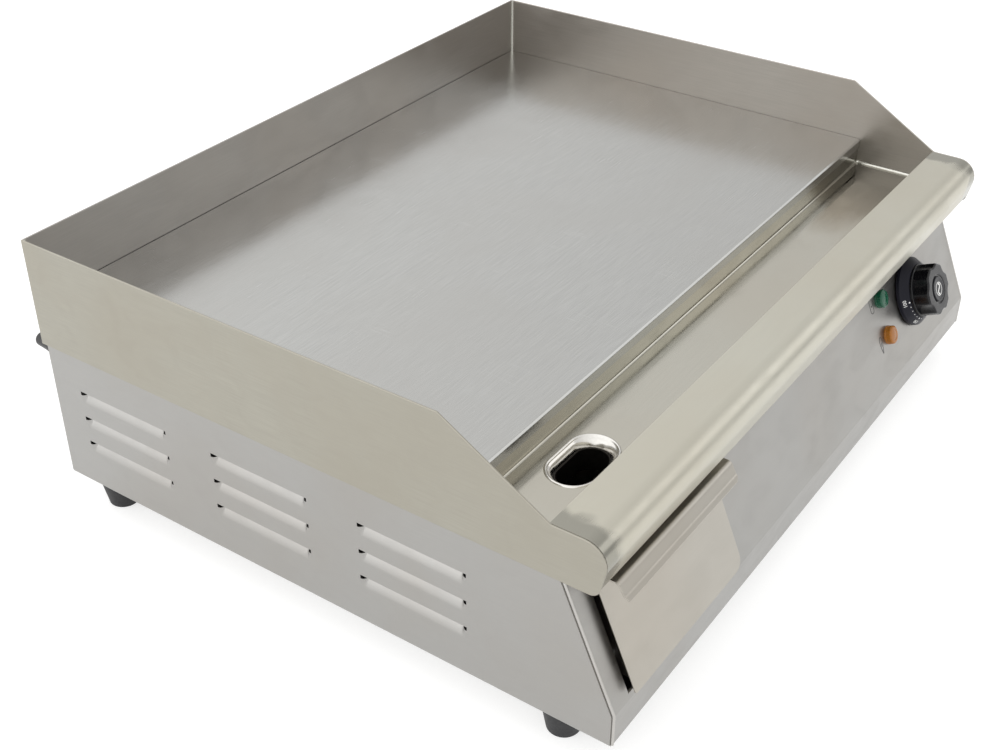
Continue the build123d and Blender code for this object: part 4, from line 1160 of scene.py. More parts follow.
@dataclass(frozen=True)
class GreaseTrough:
    """Beads at the grease channel's ends, and the pressed drain with its raised rim."""

    back: float = 339.0
    front: float = 398.3
    floor: float = 139.8
    bend: float = 2.0
    half: float = 273.6
    bead: float = 1.7
    drain_x: float = -190.8
    drain_depth: float = 367.9
    rim: tuple[float, float] = (53.0, 31.0)
    throat: tuple[float, float] = (44.0, 24.0)
    dish: float = 5.0
    tube_end: float = 119.0
    sheet: float = 1.2
    ridge: float = 0.9
    ridge_reach: tuple[float, float] = (1.3, -0.9)
    ridge_rings: int = 7
    end_ease: float = 0.9
    arc_points: int = 6
    dish_start: float = 0.12
    dish_rings: int = 7
    dish_inset: float = 1.2
    dish_curve: tuple[float, float] = (0.45, 0.55)
    throat_inset: float = 1.6
    throat_drop: float = 1.0
    under_inset: float = 0.6
    lap: tuple[float, float, float] = (-0.4, 2.6, -0.05)
    # Insets and drop of the near-black sleeve of painted shade in the throat.
    shade_insets: tuple[float, float] = (1.7, 2.9)
    shade_drop: float = 0.6

    def build(self) -> list[Piece]:
        """Makes the end beads and the drain.

        Returns:
            The trough's new pieces.
        """
        pieces = [Piece(f"trough_end_weld_{side.name.lower()}", self.end_bead(side), WELD_STEEL,
                        Body.GRIDDLE, "trough_steel") for side in Side]
        pieces.append(Piece("drain_dish", self.drain(), PRESSED_STEEL, Body.GRIDDLE, "trough_steel",
                            ("drain_spout",)))
        # A near-black sleeve in the throat paints the shade of the unlit hole.
        pieces.append(Piece("drain_throat_painted_shade", self.lining(), THROAT_SHADE_STEEL, Body.GRIDDLE,
                            "trough_steel"))
        return pieces

    def end_bead(self, side: Side) -> Surface:
        """Bead along the channel's section where it meets a guard wall.

        Args:
            side: Which end.

        Returns:
            The bead.
        """
        corners = np.array([(self.back, self.floor + self.bend), (self.back, self.floor),
                            (self.front, self.floor), (self.front, self.floor + self.bend)])
        ease = self.bend * self.end_ease
        path = rounded(corners, (0, ease, ease, 0), steps=self.arc_points)
        inner = path - offset_path(path, 1.0)
        count = len(path)
        line = np.column_stack([np.full(count, side.value * self.half), at_depth(path[:, 0]), path[:, 1]])
        away = np.column_stack([np.zeros(count), -inner[:, 0], inner[:, 1]])
        across = np.tile([-float(side.value), 0.0, 0.0], (count, 1))
        return corner_fillet(line, away, across, self.bead)

    def lining(self) -> Surface:
        """Painted shade inside the throat: a thin near-black sleeve of nested slot outlines.

        Returns:
            The sleeve.
        """
        length, width = self.throat
        outer, inner = self.shade_insets
        top, low = -self.dish - self.shade_drop, self.tube_end - self.floor
        walls = ((outer, top), (outer, low), (inner, low), (inner, top))
        return self.nested([(length - inset, width - inset, level) for inset, level in walls])

    def nested(self, rows: list[tuple[float, float, float]]) -> Surface:
        """Slot outlines joined row by row round the drain's place, the last one to the first.

        Args:
            rows: Length, width and height above the channel's floor of each outline.

        Returns:
            The closed surface.
        """
        place = (self.drain_x, at_depth(self.drain_depth), self.floor)
        points = np.concatenate(slot_rings(rows)) + place
        return Surface(points, [lattice(len(rows), 2 * SLOT_STEPS, True, True)])

    def drain(self) -> Surface:
        """Drain as nested slot outlines joined row by row: rim, ridge, dish, throat and tube.

        The dish falls by depth * (a s + b s cubed), s being the share of the way to the throat.

        Returns:
            The drain as one closed surface.
        """
        (long, wide), (short, narrow) = self.rim, self.throat
        rise = self.ridge * np.sin(np.linspace(0.0, math.pi, self.ridge_rings))
        spread = np.linspace(*self.ridge_reach, self.ridge_rings)
        rows = [(long + 2 * out, wide + 2 * out, up) for out, up in zip(spread, rise)]
        slow, steep = self.dish_curve
        share = np.linspace(self.dish_start, 1.0, self.dish_rings)
        rows += [(long + (short - long) * s - self.dish_inset, wide + (narrow - wide) * s - self.dish_inset,
                  -self.dish * (slow * s + steep * s ** 3)) for s in share]
        drop = self.tube_end - self.floor
        inner = (short - self.throat_inset, narrow - self.throat_inset)
        outer = (short + 2 * self.sheet, narrow + 2 * self.sheet)
        tight, loose, low = self.lap
        rows += [(*inner, -self.dish - self.throat_drop), (*inner, drop),
                 (*outer, drop), (*outer, -self.dish - self.sheet),
                 (long - self.under_inset, wide - self.under_inset, -self.sheet),
                 (long + tight, wide + tight, low), (long + loose, wide + loose, low)]
        return self.nested(rows)


@dataclass(frozen=True)
class Casing:
    """Side walls with pressed louvres and their flanges."""

    half: float = 273.6
    sheet: float = 1.2
    bottom: float = 25.0
    top: float = 150.4
    shoulder: float = 136.6
    shoulder_depth: float = 337.0
    back: float = 5.1
    front: float = 442.3
    bend: float = 1.8
    flange: float = 40.0
    flange_front: float = 419.5
    rear_flange: float = 16.0
    gland: tuple[float, float] = (104.0, 130.0)
    louvre_length: float = 77.0
    louvre_height: float = 9.5
    louvre_reach: float = 4.4
    louvre_depths: tuple[float, ...] = (70.0, 188.2, 305.8)
    louvre_cuts: tuple[float, ...] = (102.6, 82.4, 62.2)
    edge_inset: float = 0.6
    edge_radius: float = 1.0
    edge_bend: float = 3.0
    edge_gap: tuple[float, float] = (0.5, 0.6)
    edge_points: int = 8
    cut_steps: tuple[float, ...] = (0.0, 0.8, 1.8, 2.8, 4.0, 5.4, 6.8, 8.2, 9.5)
    above_cuts: tuple[float, float] = (3.0, 0.8)
    plain_heights: tuple[float, ...] = (143.0, 125.0, 112.0, 45.0, 35.0)
    end_steps: tuple[float, ...] = (-3.0, -0.8, 0.0, 0.7, 1.5, 2.4, 3.4, 4.6, 6.2, 12.0, 24.0)
    plain_depths: tuple[float, ...] = (17.1, 129.0, 247.0)
    rings: int = 7
    louvre_end: float = 3.4
    louvre_curve: float = 1.25
    notch_run: tuple[float, float] = (-0.8, 2.4)
    notch_height: float = 2.8

    def build(self) -> list[Piece]:
        """Makes both side walls and their rear flanges.

        Returns:
            The casing's new pieces.
        """
        pieces = []
        for side in Side:
            name = side.name.lower()
            pieces.append(Piece(f"side_wall_{name}", self.wall(side), CASING_STEEL, Body.GRIDDLE,
                                "casing_steel", (f"side_panel_{name}",), wall=self.sheet))
            x = sorted((side.value * (self.half - self.sheet), side.value * (self.half - self.rear_flange)))
            depth = (self.back, self.back + self.sheet)
            low = slab(tuple(x), depth, (self.bottom + self.sheet, self.gland[0]))
            high = slab(tuple(x), depth, (self.gland[1], self.top))
            pieces.append(Piece(f"rear_flange_{name}", low + high, CASING_STEEL, Body.GRIDDLE,
                                "casing_steel"))
            # Rounded front corner bend, its lighter tone a painted highlight.
            edge_x = side.value * (self.half - self.edge_inset)
            pieces.append(Piece(f"front_edge_{name}", rod(self.edge_path(), edge_x, self.edge_radius),
                                EDGE_STEEL, Body.GRIDDLE, "casing_steel"))
        return pieces

    def edge_path(self) -> Array:
        """Path along the front corner, from the panel's top round the bend to the base.

        Returns:
            Rows of depth and height.
        """
        above, below = self.edge_gap
        levels = (self.shoulder - above, PANEL.bend_height)
        corners = [(PANEL.depth(level, -self.edge_inset), level) for level in levels]
        corners.append((corners[-1][0], self.bottom + below))
        return rounded(np.array(corners), (0, self.edge_bend, 0), steps=self.edge_points)

    def rows(self) -> tuple[Array, Array]:
        """Inward offset and height of each row: the wall from its top, a bend, then the flange.

        The height at each louvre's cut stands twice, so that the wall can part there.

        Returns:
            The offsets, and the heights.
        """
        cuts = np.array(self.louvre_cuts)
        louvre = (cuts[:, None] - np.array(self.cut_steps)).ravel()
        above = (cuts[:, None] + np.array(self.above_cuts)).ravel()
        plain = [self.top, self.shoulder, PANEL.bend_height, *self.plain_heights]
        height = np.sort(np.concatenate([plain, above, cuts, louvre]))[::-1]
        angle = np.linspace(0.0, math.pi / 2, self.rings)
        arc_in = self.bend * (1 - np.cos(angle))
        arc_down = self.bottom + self.bend * (1 - np.sin(angle))
        inwards = np.concatenate([np.zeros(len(height)), arc_in, [self.flange / 2, self.flange]])
        height = np.concatenate([height, arc_down, [self.bottom, self.bottom]])
        return inwards, height

    def columns(self) -> Array:
        """Depths of the columns up to the last louvre, closer together at the louvres' ends.

        Returns:
            The depths in rising order.
        """
        reach = self.louvre_length / 2 - np.array(self.end_steps)
        louvre = np.array(self.louvre_depths)[:, None] + np.concatenate([-reach, [0.0], reach])
        plain = [self.back, *self.plain_depths, self.shoulder_depth]
        return np.sort(np.concatenate([plain, louvre.ravel()]))

    def wall(self, side: Side) -> Surface:
        """Side wall as a lattice of rows by columns, pushed in at the louvres.

        A louvre's push is reach * up * along: up rises from 0 at its foot to 1 at its cut, and
        along falls to 0 over the last few millimetres of its length.

        Args:
            side: Which wall.

        Returns:
            The wall's outer face, open, with its normals outwards.
        """
        inwards, height = self.rows()
        near = self.columns()
        fan = np.linspace(0.0, 1.0, self.rings)[1:]
        front = np.where(height < PANEL.bend_height, self.front, PANEL.depth(height, -self.sheet))
        depth = np.concatenate([np.tile(near, (len(height), 1)),
                                near[-1] + fan[None] * (front[:, None] - near[-1])], 1)
        flange_row = inwards > self.bend
        flange_fan = near[-1] + fan[None] * (self.flange_front - near[-1])
        depth[flange_row, len(near):] = flange_fan
        push = np.zeros(depth.shape)
        upper = np.concatenate([[False], np.diff(height) == 0.0])
        for cut in self.louvre_cuts:
            up = 1.0 - (cut - height) / self.louvre_height
            inside = (height <= cut) & (up >= 0.0) & (upper | (height < cut))
            up = np.where(inside, np.clip(up, 0.0, 1.0) ** self.louvre_curve, 0.0)
            for middle in self.louvre_depths:
                left = self.louvre_length / 2 - np.abs(depth - middle)
                along = np.clip(left / self.louvre_end, 0.0, 1.0)
                along = along * along * (3 - 2 * along)
                push = np.maximum(push, self.louvre_reach * up[:, None] * along)
        x = side.value * (self.half - inwards[:, None] - push)
        points = np.stack([x, at_depth(depth), np.tile(height[:, None], (1, depth.shape[1]))], -1)
        rows, columns = depth.shape
        quads = lattice(rows, columns)
        keep = self.kept(height, depth, upper)
        quads = quads[keep.ravel()]
        if side is Side.LEFT:
            quads = quads[:, ::-1]
        return Surface(points.reshape(-1, 3), [quads])

    def kept(self, height: Array, depth: Array, upper: Array) -> Array:
        """Which cells of the wall are metal.

        Args:
            height: Height of each row.
            depth: Depth of each lattice point.
            upper: Whether a row repeats the height of the one before it.

        Returns:
            A mask with one value for each cell: off between repeated rows, above the shoulder in
            front, and in the small relief notches at both ends of each louvre's cut.
        """
        centre_height = (height[1:] + height[:-1]) / 2
        centre_depth = (depth[1:, 1:] + depth[1:, :-1]) / 2
        parted = np.isin(height[1:], self.louvre_cuts) & upper[1:]
        keep = np.tile(~parted[:, None], (1, centre_depth.shape[1]))
        keep &= ~((centre_height[:, None] > self.shoulder) & (centre_depth > self.shoulder_depth))
        start, stop = self.notch_run
        for cut in self.louvre_cuts:
            for middle in self.louvre_depths:
                left = self.louvre_length / 2 - np.abs(centre_depth - middle)
                down = cut - centre_height[:, None]
                beside = (left > start) & (left < stop)
                keep &= ~(beside & (down > 0.0) & (down < self.notch_height))
        return keep


@dataclass(frozen=True)
class GreaseDrawer:
    """The drawer's face sheet and the finger pull along its top."""

    left: float = -257.0
    right: float = -127.0
    face_bottom: float = 54.1
    face_top: float = 126.3
    proud: float = 6.0
    sheet: float = 1.0
    left_corner: float = 1.5
    right_corner: float = 8.5
    pull: tuple[tuple[float, float], ...] = ((413.6, 127.4), (431.8, 127.4),
                                             (436.2, 120.0), (439.6, 118.7))
    pull_radii: tuple[float, ...] = (0, 4.0, 3.0, 0)
    pull_corner: float = 6.0
    pull_rings: int = 3
    arc_points: int = 10
    face_edges: Edges = Edges(0.3, 3)
    pull_edges: Edges = Edges(0.25, 2)

    def build(self) -> list[Piece]:
        """Makes the face and the pull.

        Returns:
            The drawer's new pieces.
        """
        face = Piece("drawer_front", self.face(), DRAWER_STEEL, Body.DRAWER, "drawer_steel",
                     ("drawer_face",), self.face_edges)
        pull = Piece("drawer_finger_pull", self.pull_strip(), DRAWER_STEEL, Body.DRAWER,
                     "drawer_steel", ("drawer_pull",), self.pull_edges)
        return [face, pull]

    def face(self) -> Surface:
        """Face sheet: a rectangle with rounded lower corners, standing out from the panel.

        Returns:
            The sheet.
        """
        half = (self.right - self.left) / 2
        rise = self.proud * math.sin(PANEL.lean)
        middle = (self.face_bottom + self.face_top) / 2 - rise
        reach = (self.face_top - self.face_bottom) / math.cos(PANEL.lean) / 2
        corners = np.array([(-half, -reach), (half, -reach), (half, reach), (-half, reach)])
        outline = rounded(corners, (self.left_corner, self.right_corner, 0, 0), True)
        levels = (self.proud - self.sheet, self.proud)
        count = len(outline)
        points = np.concatenate([np.column_stack([outline, np.full(count, level)]) for level in levels])
        ring = np.arange(count)
        faces = [lattice(2, count, ring_columns=True), ring[None, ::-1], ring[None] + count]
        return PanelFrame((self.left + self.right) / 2, middle).put(Surface(points, faces))

    def pull_strip(self) -> Surface:
        """Pull: a closed bent section repeated along X, its right end pulled in round the corner.

        Within the corner's radius r of the front, the right end stands r - sqrt(r² - t²) in,
        where t is how far the point lies past the start of the arc.

        Returns:
            The strip.
        """
        path = rounded(np.array(self.pull), self.pull_radii, steps=self.arc_points)
        section = sheet_outline(path, self.sheet)
        front = section[:, 0].max()
        past = np.clip(section[:, 0] - (front - self.pull_corner), 0.0, self.pull_corner)
        inset = self.pull_corner - np.sqrt(self.pull_corner ** 2 - past ** 2)
        rings = self.pull_rings
        share = np.linspace(0.0, 1.0, rings)[:, None]
        x = self.left + share * (self.right - inset[None] - self.left)
        count = len(section)
        depth = np.tile(at_depth(section[:, 0]), (rings, 1))
        points = np.stack([x, depth, np.tile(section[:, 1], (rings, 1))], -1)
        ring = np.arange(count)
        faces = [lattice(rings, count, False, True), ring[None, ::-1],
                 ring[None] + (rings - 1) * count]
        return Surface(points.reshape(-1, 3), faces)


@dataclass(frozen=True)
class ThermostatKnob:
    """Dial skirt with its scale, fluted grip and cap, all turning about the panel's normal."""

    x: float = 189.2
    height: float = 88.6
    skirt_radius: float = 26.0
    skirt_lift: float = 0.8
    skirt_rim: float = 3.4
    skirt_top: float = 9.0
    skirt_top_radius: float = 20.8
    base_radius: float = 20.2
    grip_base: float = 11.0
    grip_radius: float = 19.3
    reach: float = 23.0
    flutes: int = 6
    flute_radius: float = 11.0
    flute_depth: float = 2.0
    cap_radius: float = 9.5
    edge: float = 1.4
    first_degrees: float = 91.0
    label_step: float = 53.0
    temperatures: tuple[int, ...] = (100, 150, 200, 250, 300)
    dots_between: int = 4
    bore: float = 3.2
    skirt_wall: tuple[float, float, float] = (2.0, 3.0, 3.0)
    skirt_radii: tuple[float, ...] = (0, 0.6, 0.9, 0.4, 0.3, 0, 0)
    skirt_steps: int = 128
    grip_steps: int = 240
    first_flute: float = 30.0
    flute_blend: float = 0.35
    base_chamfer: float = 0.5
    ring_gap: float = 1.2
    ring_groove: tuple[tuple[float, float], ...] = ((0.9, 0.0), (0.3, 0.25), (0.0, 0.7))
    cap_floor: float = 1.0
    cap_profile: tuple[tuple[float, float], ...] = (
        (0.0, -1.6), (0.0, -0.1), (0.2, 0.25), (0.6, 0.4), (1.6, 0.35), (2.0, 0.15), (4.75, 0.1))
    mark_levels: tuple[float, float] = (0.11, 0.22)
    mark_ring: float = 4.9
    mark_wave: tuple[float, float] = (2.0, 4.2)
    mark_strokes: tuple[float, float] = (0.6, 1.3)
    dot_radii: tuple[float, float] = (0.62, 0.36)
    dot_height: float = 0.06
    dot_share: float = 0.86
    number_size: float = 3.9
    number_share: float = 0.40

    @property
    def place(self) -> PanelFrame:
        """The knob's frame on the panel."""
        return PanelFrame(self.x, self.height)

    def build(self) -> list[Piece]:
        """Makes the skirt, grip, cap and printed scale.

        Returns:
            The knob's pieces.
        """
        black = SLOT_FINISHES
        return [
            Piece("dial_skirt", self.place.put(self.skirt()), black["knob_skirt_black"], Body.KNOB,
                  "knob_skirt_black", ("knob_skirt",)),
            Piece("dial_grip", self.place.put(self.grip()), black["knob_black"], Body.KNOB,
                  "knob_black", ("knob_grip",)),
            Piece("dial_cap", self.place.put(self.cap()), black["knob_cap_black"], Body.KNOB,
                  "knob_cap_black", ("knob_cap",)),
            Piece("dial_cap_mark", self.place.put(self.cap_mark()), PRINT_WHITE, Body.KNOB),
            Piece("dial_scale_dots", self.place.put(self.dots()), PRINT_WHITE, Body.KNOB),
            Piece("dial_scale_numbers", self.place.put(self.numbers()), PRINT_WHITE, Body.KNOB),
        ]

    def skirt(self) -> Surface:
        """Skirt: rim, cone up to the grip and hollow back, as one closed profile."""
        rim, side, roof = self.skirt_wall
        corners = np.array([(self.bore, self.skirt_top), (self.skirt_top_radius, self.skirt_top),
                            (self.skirt_radius, self.skirt_rim), (self.skirt_radius, self.skirt_lift),
                            (self.skirt_radius - rim, self.skirt_lift),
                            (self.skirt_top_radius - side, self.skirt_top - roof),
                            (self.bore, self.skirt_top - roof)])
        return turned(rounded(corners, self.skirt_radii, True, 5), self.skirt_steps)

    def grip(self) -> Surface:
        """Grip whose radius at an angle is the smaller of its round and its flute's circle.

        A flute's circle of radius f stands c = R + f - depth from the axis, so at an angle a from
        it the wall is at c cos a - sqrt(f² - c² sin² a), blended softly with R.

        Returns:
            The grip as one closed surface.
        """
        steps = self.grip_steps
        angle = np.arange(steps) / steps * TURN
        wall = self.fluted(angle)
        turn = np.linspace(0.0, math.pi / 2, 6)
        top = self.reach - self.edge
        rim = self.cap_radius + self.ring_gap
        plain = np.zeros(steps)
        lobed = [(plain + self.base_radius, self.skirt_top),
                 (plain + self.base_radius, self.grip_base - self.base_chamfer),
                 (plain + self.base_radius - self.base_chamfer, self.grip_base),
                 (wall, self.grip_base + 0.1)]
        lobed += [(wall, level) for level in np.linspace(self.grip_base + 1.0, top, 5)]
        lobed += [(wall - self.edge * (1 - math.cos(t)), top + self.edge * math.sin(t)) for t in turn[1:]]
        lobed += [(plain + rim + out, self.reach - down) for out, down in self.ring_groove]
        lobed += [(plain + self.cap_radius, self.reach - self.cap_floor),
                  (plain, self.reach - self.cap_floor)]
        radius = np.stack([row for row, _ in lobed])
        level = np.array([height for _, height in lobed])[:, None]
        points = np.stack([radius * np.cos(angle), radius * np.sin(angle), np.tile(level, (1, steps))], -1)
        floor = np.zeros((steps, 3)) + (0.0, 0.0, self.skirt_top)
        points = np.concatenate([floor[None], points])
        return Surface(points.reshape(-1, 3), [lattice(len(lobed) + 1, steps, False, True)])

    def fluted(self, angle: Array) -> Array:
        """Grip's radius at each angle, the flutes cut into its round.

        Args:
            angle: Angles in radians.

        Returns:
            The radii.
        """
        pitch = TURN / self.flutes
        away = (angle - math.radians(self.first_flute) + pitch / 2) % pitch - pitch / 2
        centre = self.grip_radius + self.flute_radius - self.flute_depth
        under = np.clip(self.flute_radius ** 2 - (centre * np.sin(away)) ** 2, 0.0, None)
        scoop = np.where(under > 0, centre * np.cos(away) - np.sqrt(under), self.grip_radius)
        soft = self.flute_blend
        wall = -soft * np.log(np.exp(-scoop / soft) + np.exp(-self.grip_radius / soft))
        return np.minimum(wall, self.grip_radius)

    def cap(self) -> Surface:
        """Cap: a disc with a rounded rim and a face that dips a little at its middle.

        Returns:
            The cap.
        """
        middle = (0.0, self.reach + self.cap_profile[-1][1])
        rows = [(0.0, self.reach + self.cap_profile[0][1])]
        rows += [(self.cap_radius - inset, self.reach + rise) for inset, rise in self.cap_profile]
        return turned(np.array([*rows, middle]), 96, False)

    def cap_mark(self) -> Surface:
        """Plain mark on the cap: a ring with a wave x = w sin(pi t) across it.

        Returns:
            The raised mark.
        """
        share = np.linspace(-1.0, 1.0, 30)
        low, high = (self.reach + level for level in self.mark_levels)
        angle = np.linspace(0.0, TURN, 48, endpoint=False)
        ring = self.mark_ring * np.column_stack([np.cos(angle), np.sin(angle)])
        width, length = self.mark_wave
        wave = np.column_stack([width * np.sin(share * math.pi), share * length])
        thin, thick = self.mark_strokes
        return ribbon(ring, thin, low, high, True) + ribbon(wave, thick, low, high, False)

    def cone(self, share: float) -> tuple[float, float]:
        """Radius and height on the skirt's cone, from a share of 0 at its rim to 1 at its top."""
        return (self.skirt_radius + (self.skirt_top_radius - self.skirt_radius) * share,
                self.skirt_rim + (self.skirt_top - self.skirt_rim) * share)

    def on_cone(self, flat: Surface, share: float, degrees: float) -> Surface:
        """Moves a small flat print onto the cone, its up direction pointing outwards down the cone.

        Args:
            flat: Print in its own x, y and thickness z.
            share: Place along the cone, from rim to top.
            degrees: Angle round the knob, from its right-hand side.

        Returns:
            The print on the cone, in the knob's frame.
        """
        radius, height = self.cone(share)
        turn = math.radians(degrees)
        outward = np.array([math.cos(turn), math.sin(turn), 0.0])
        run = np.array([self.skirt_radius - self.skirt_top_radius, self.skirt_rim - self.skirt_top])
        run /= np.linalg.norm(run)
        up = outward * run[0] + np.array([0.0, 0.0, run[1]])
        across = np.array([math.sin(turn), -math.cos(turn), 0.0])
        normal = np.cross(across, up)
        origin = outward * radius + np.array([0.0, 0.0, height])
        return Surface(flat.points @ np.stack([across, up, normal]) + origin, flat.faces)

    def label_angles(self) -> Array:
        """Angle of each temperature, counter-clockwise from the top."""
        return 90.0 + self.first_degrees + self.label_step * np.arange(len(self.temperatures))

    def dots(self) -> Surface:
        """Scale dots by the grip, a larger one at each temperature.

        Returns:
            All the dots as one surface in the knob's frame.
        """
        group = self.dots_between + 1
        step = self.label_step / group
        large, small = (disc(radius, 0.0, self.dot_height, 12) for radius in self.dot_radii)
        total = None
        for index in range((len(self.temperatures) - 1) * group + 1):
            flat = small if index % group else large
            mark = self.on_cone(flat, self.dot_share, 90.0 + self.first_degrees + step * index)
            total = mark if total is None else total + mark
        return total

    def numbers(self) -> Surface:
        """Temperatures printed on the cone.

        Returns:
            All the numbers as one surface in the knob's frame.
        """
        total = None
        for temperature, degrees in zip(self.temperatures, self.label_angles()):
            flat = number_print(str(temperature), self.number_size)
            mark = self.on_cone(flat, self.number_share, degrees)
            total = mark if total is None else total + mark
        return total


def number_print(text: str, size: float) -> Surface:
    """Thin raised figures, centred, from the built-in typeface.

    Args:
        text: Figures to print.
        size: Height of the type.

    Returns:
        Their surface in millimetres, facing +Z.
    """
    curve = bpy.data.curves.new("figures", "FONT")
    curve.body = text
    curve.size = size
    curve.extrude = PRINT_HALF_THICKNESS
    curve.offset = PRINT_SPREAD
    curve.resolution_u = 3
    curve.align_x, curve.align_y = "CENTER", "CENTER"
    holder = bpy.data.objects.new("figures", curve)
    mesh = bpy.data.meshes.new_from_object(holder)
    points = np.zeros(len(mesh.vertices) * 3)
    mesh.vertices.foreach_get("co", points)
    faces = [np.array([list(face.vertices)]) for face in mesh.polygons]
    bpy.data.objects.remove(holder)
    bpy.data.curves.remove(curve)
    bpy.data.meshes.remove(mesh)
    return Surface(points.reshape(-1, 3) + (0.0, 0.0, PRINT_LIFT), faces)


@dataclass(frozen=True)
class IndicatorLamps:
    """Green and amber lenses with the small printed marks beside them."""

    x: float = 138.5
    heights: tuple[float, float] = (104.2, 77.3)
    radius: float = 7.0
    reach: float = 5.5
    shoulder: float = 1.6
    ribs: int = 24
    mark_x: float = 125.0
    mark_heights: tuple[float, float] = (104.2, 75.4)
    stroke: float = 0.6
    print_height: float = 0.08
    foot: tuple[float, float, float] = (0.9, 0.25, 1.1)
    wall_inset: float = 0.3
    dome_start: float = 0.4
    face_profile: tuple[tuple[float, float], ...] = ((4.2, 0.3), (3.9, 0.55), (2.0, 0.3), (0.0, 0.2))
    steps: int = 192
    rib_height: float = 0.016
    rib_start: tuple[float, float] = (4.5, 1.0)
    power_half: tuple[float, float] = (2.5, 5.4)
    power_radius: float = 2.2
    power_dot: float = 0.75
    flame_half: tuple[float, float] = (2.9, 6.4)
    flame_taper: tuple[float, float] = (0.62, 0.38)
    flame_line: tuple[float, float] = (-1.2, 2.4)

    def build(self) -> list[Piece]:
        """Makes both lenses and their marks.

        Returns:
            The lamps' pieces.
        """
        pieces = []
        for colour, height in zip(("green", "amber"), self.heights):
            lens = PanelFrame(self.x, height).put(self.lens())
            pieces.append(Piece(f"{colour}_lamp_lens", lens, SLOT_FINISHES[f"{colour}_lens"],
                                Body.GRIDDLE, f"{colour}_lens", (f"{colour}_lens",)))
        marks = (self.power_mark(), self.heat_mark())
        for name, mark, height in zip(("power", "heating"), marks, self.mark_heights):
            placed = PanelFrame(self.mark_x, height).put(mark)
            pieces.append(Piece(f"{name}_mark", placed, PRINT_GREY, Body.GRIDDLE))
        return pieces

    def lens(self) -> Surface:
        """Lens: a ribbed wall r (1 + k cos(n a)) under a stepped, gently domed front.

        Returns:
            The lens in its local frame.
        """
        turn = np.linspace(0.0, math.pi / 2, 6)
        side = self.reach - self.shoulder
        rim, step, lip = self.foot
        wall = self.radius - self.wall_inset
        rows = [(0.0, 0.0), (self.radius, 0.0), (self.radius, rim), (self.radius - step, lip),
                (wall, side - self.dome_start)]
        rows += [(wall - self.shoulder * (1 - math.cos(t)),
                  side + (self.shoulder - self.dome_start) * math.sin(t)) for t in turn]
        rows += [(radius, self.reach - down) for radius, down in self.face_profile]
        profile = np.array(rows)
        angle = np.arange(self.steps) / self.steps * TURN
        least_radius, least_height = self.rib_start
        ribbed = (profile[:, 0] > least_radius) & (profile[:, 1] > least_height)
        swell = 1.0 + self.rib_height * ribbed[:, None] * np.cos(self.ribs * angle)[None]
        return turned(profile, self.steps, False, swell)

    def power_mark(self) -> Surface:
        """Upright rounded oblong with a dot: a lamp in its holder."""
        x, y = self.power_half
        outline = rounded(np.array([(-x, -y), (x, -y), (x, y), (-x, y)]), (self.power_radius,) * 4, True)
        return (ribbon(outline, self.stroke, 0.0, self.print_height, True)
                + disc(self.power_dot, 0.0, self.print_height))

    def heat_mark(self) -> Surface:
        """Flame with a short line inside: x = w sin a (b - c cos a) and y = -h cos a round the loop.

        Returns:
            The raised mark in its local frame.
        """
        angle = np.linspace(0.0, TURN, 40, endpoint=False)
        half_width, half_height = self.flame_half
        full, taper = self.flame_taper
        width = half_width * np.sin(angle) * (full - taper * np.cos(angle))
        loop = np.column_stack([width, -half_height * np.cos(angle)])
        inner = np.column_stack([np.zeros(8), np.linspace(*self.flame_line, 8)])
        return (ribbon(loop, self.stroke, 0.0, self.print_height, True)
                + ribbon(inner, self.stroke, 0.0, self.print_height, False))


@dataclass(frozen=True)
class Feet:
    """Four tapered rubber feet with a recess for the screw and a soft lower edge."""

    x: float = 256.0
    depths: tuple[float, float] = (31.6, 401.0)
    height: float = 25.0
    top_radius: float = 15.0
    bottom_radius: float = 10.5
    recess_radius: float = 7.0
    recess: float = 14.0
    bore: float = 2.6
    radii: tuple[float, ...] = (0, 0.8, 1.2, 0.6, 0, 0)
    steps: int = 72

    def build(self) -> list[Piece]:
        """Makes the four feet.

        Returns:
            The feet.
        """
        corners = np.array([(self.bore, self.height), (self.top_radius, self.height),
                            (self.bottom_radius, 0.0), (self.recess_radius, 0.0),
                            (self.recess_radius, self.recess), (self.bore, self.recess)])
        profile = rounded(corners, self.radii, True, 6)
        pieces = []
        for end, depth in zip(("rear", "front"), self.depths):
            for side in Side:
                body = turned(profile, self.steps)
                body.points += (side.value * self.x, at_depth(depth), 0.0)
                name = f"{end}_{side.name.lower()}"
                pieces.append(Piece(f"rubber_foot_{name}", body, SLOT_FINISHES["foot_rubber"],
                                    Body.GRIDDLE, "foot_rubber", (f"foot_{name}",)))
        return pieces


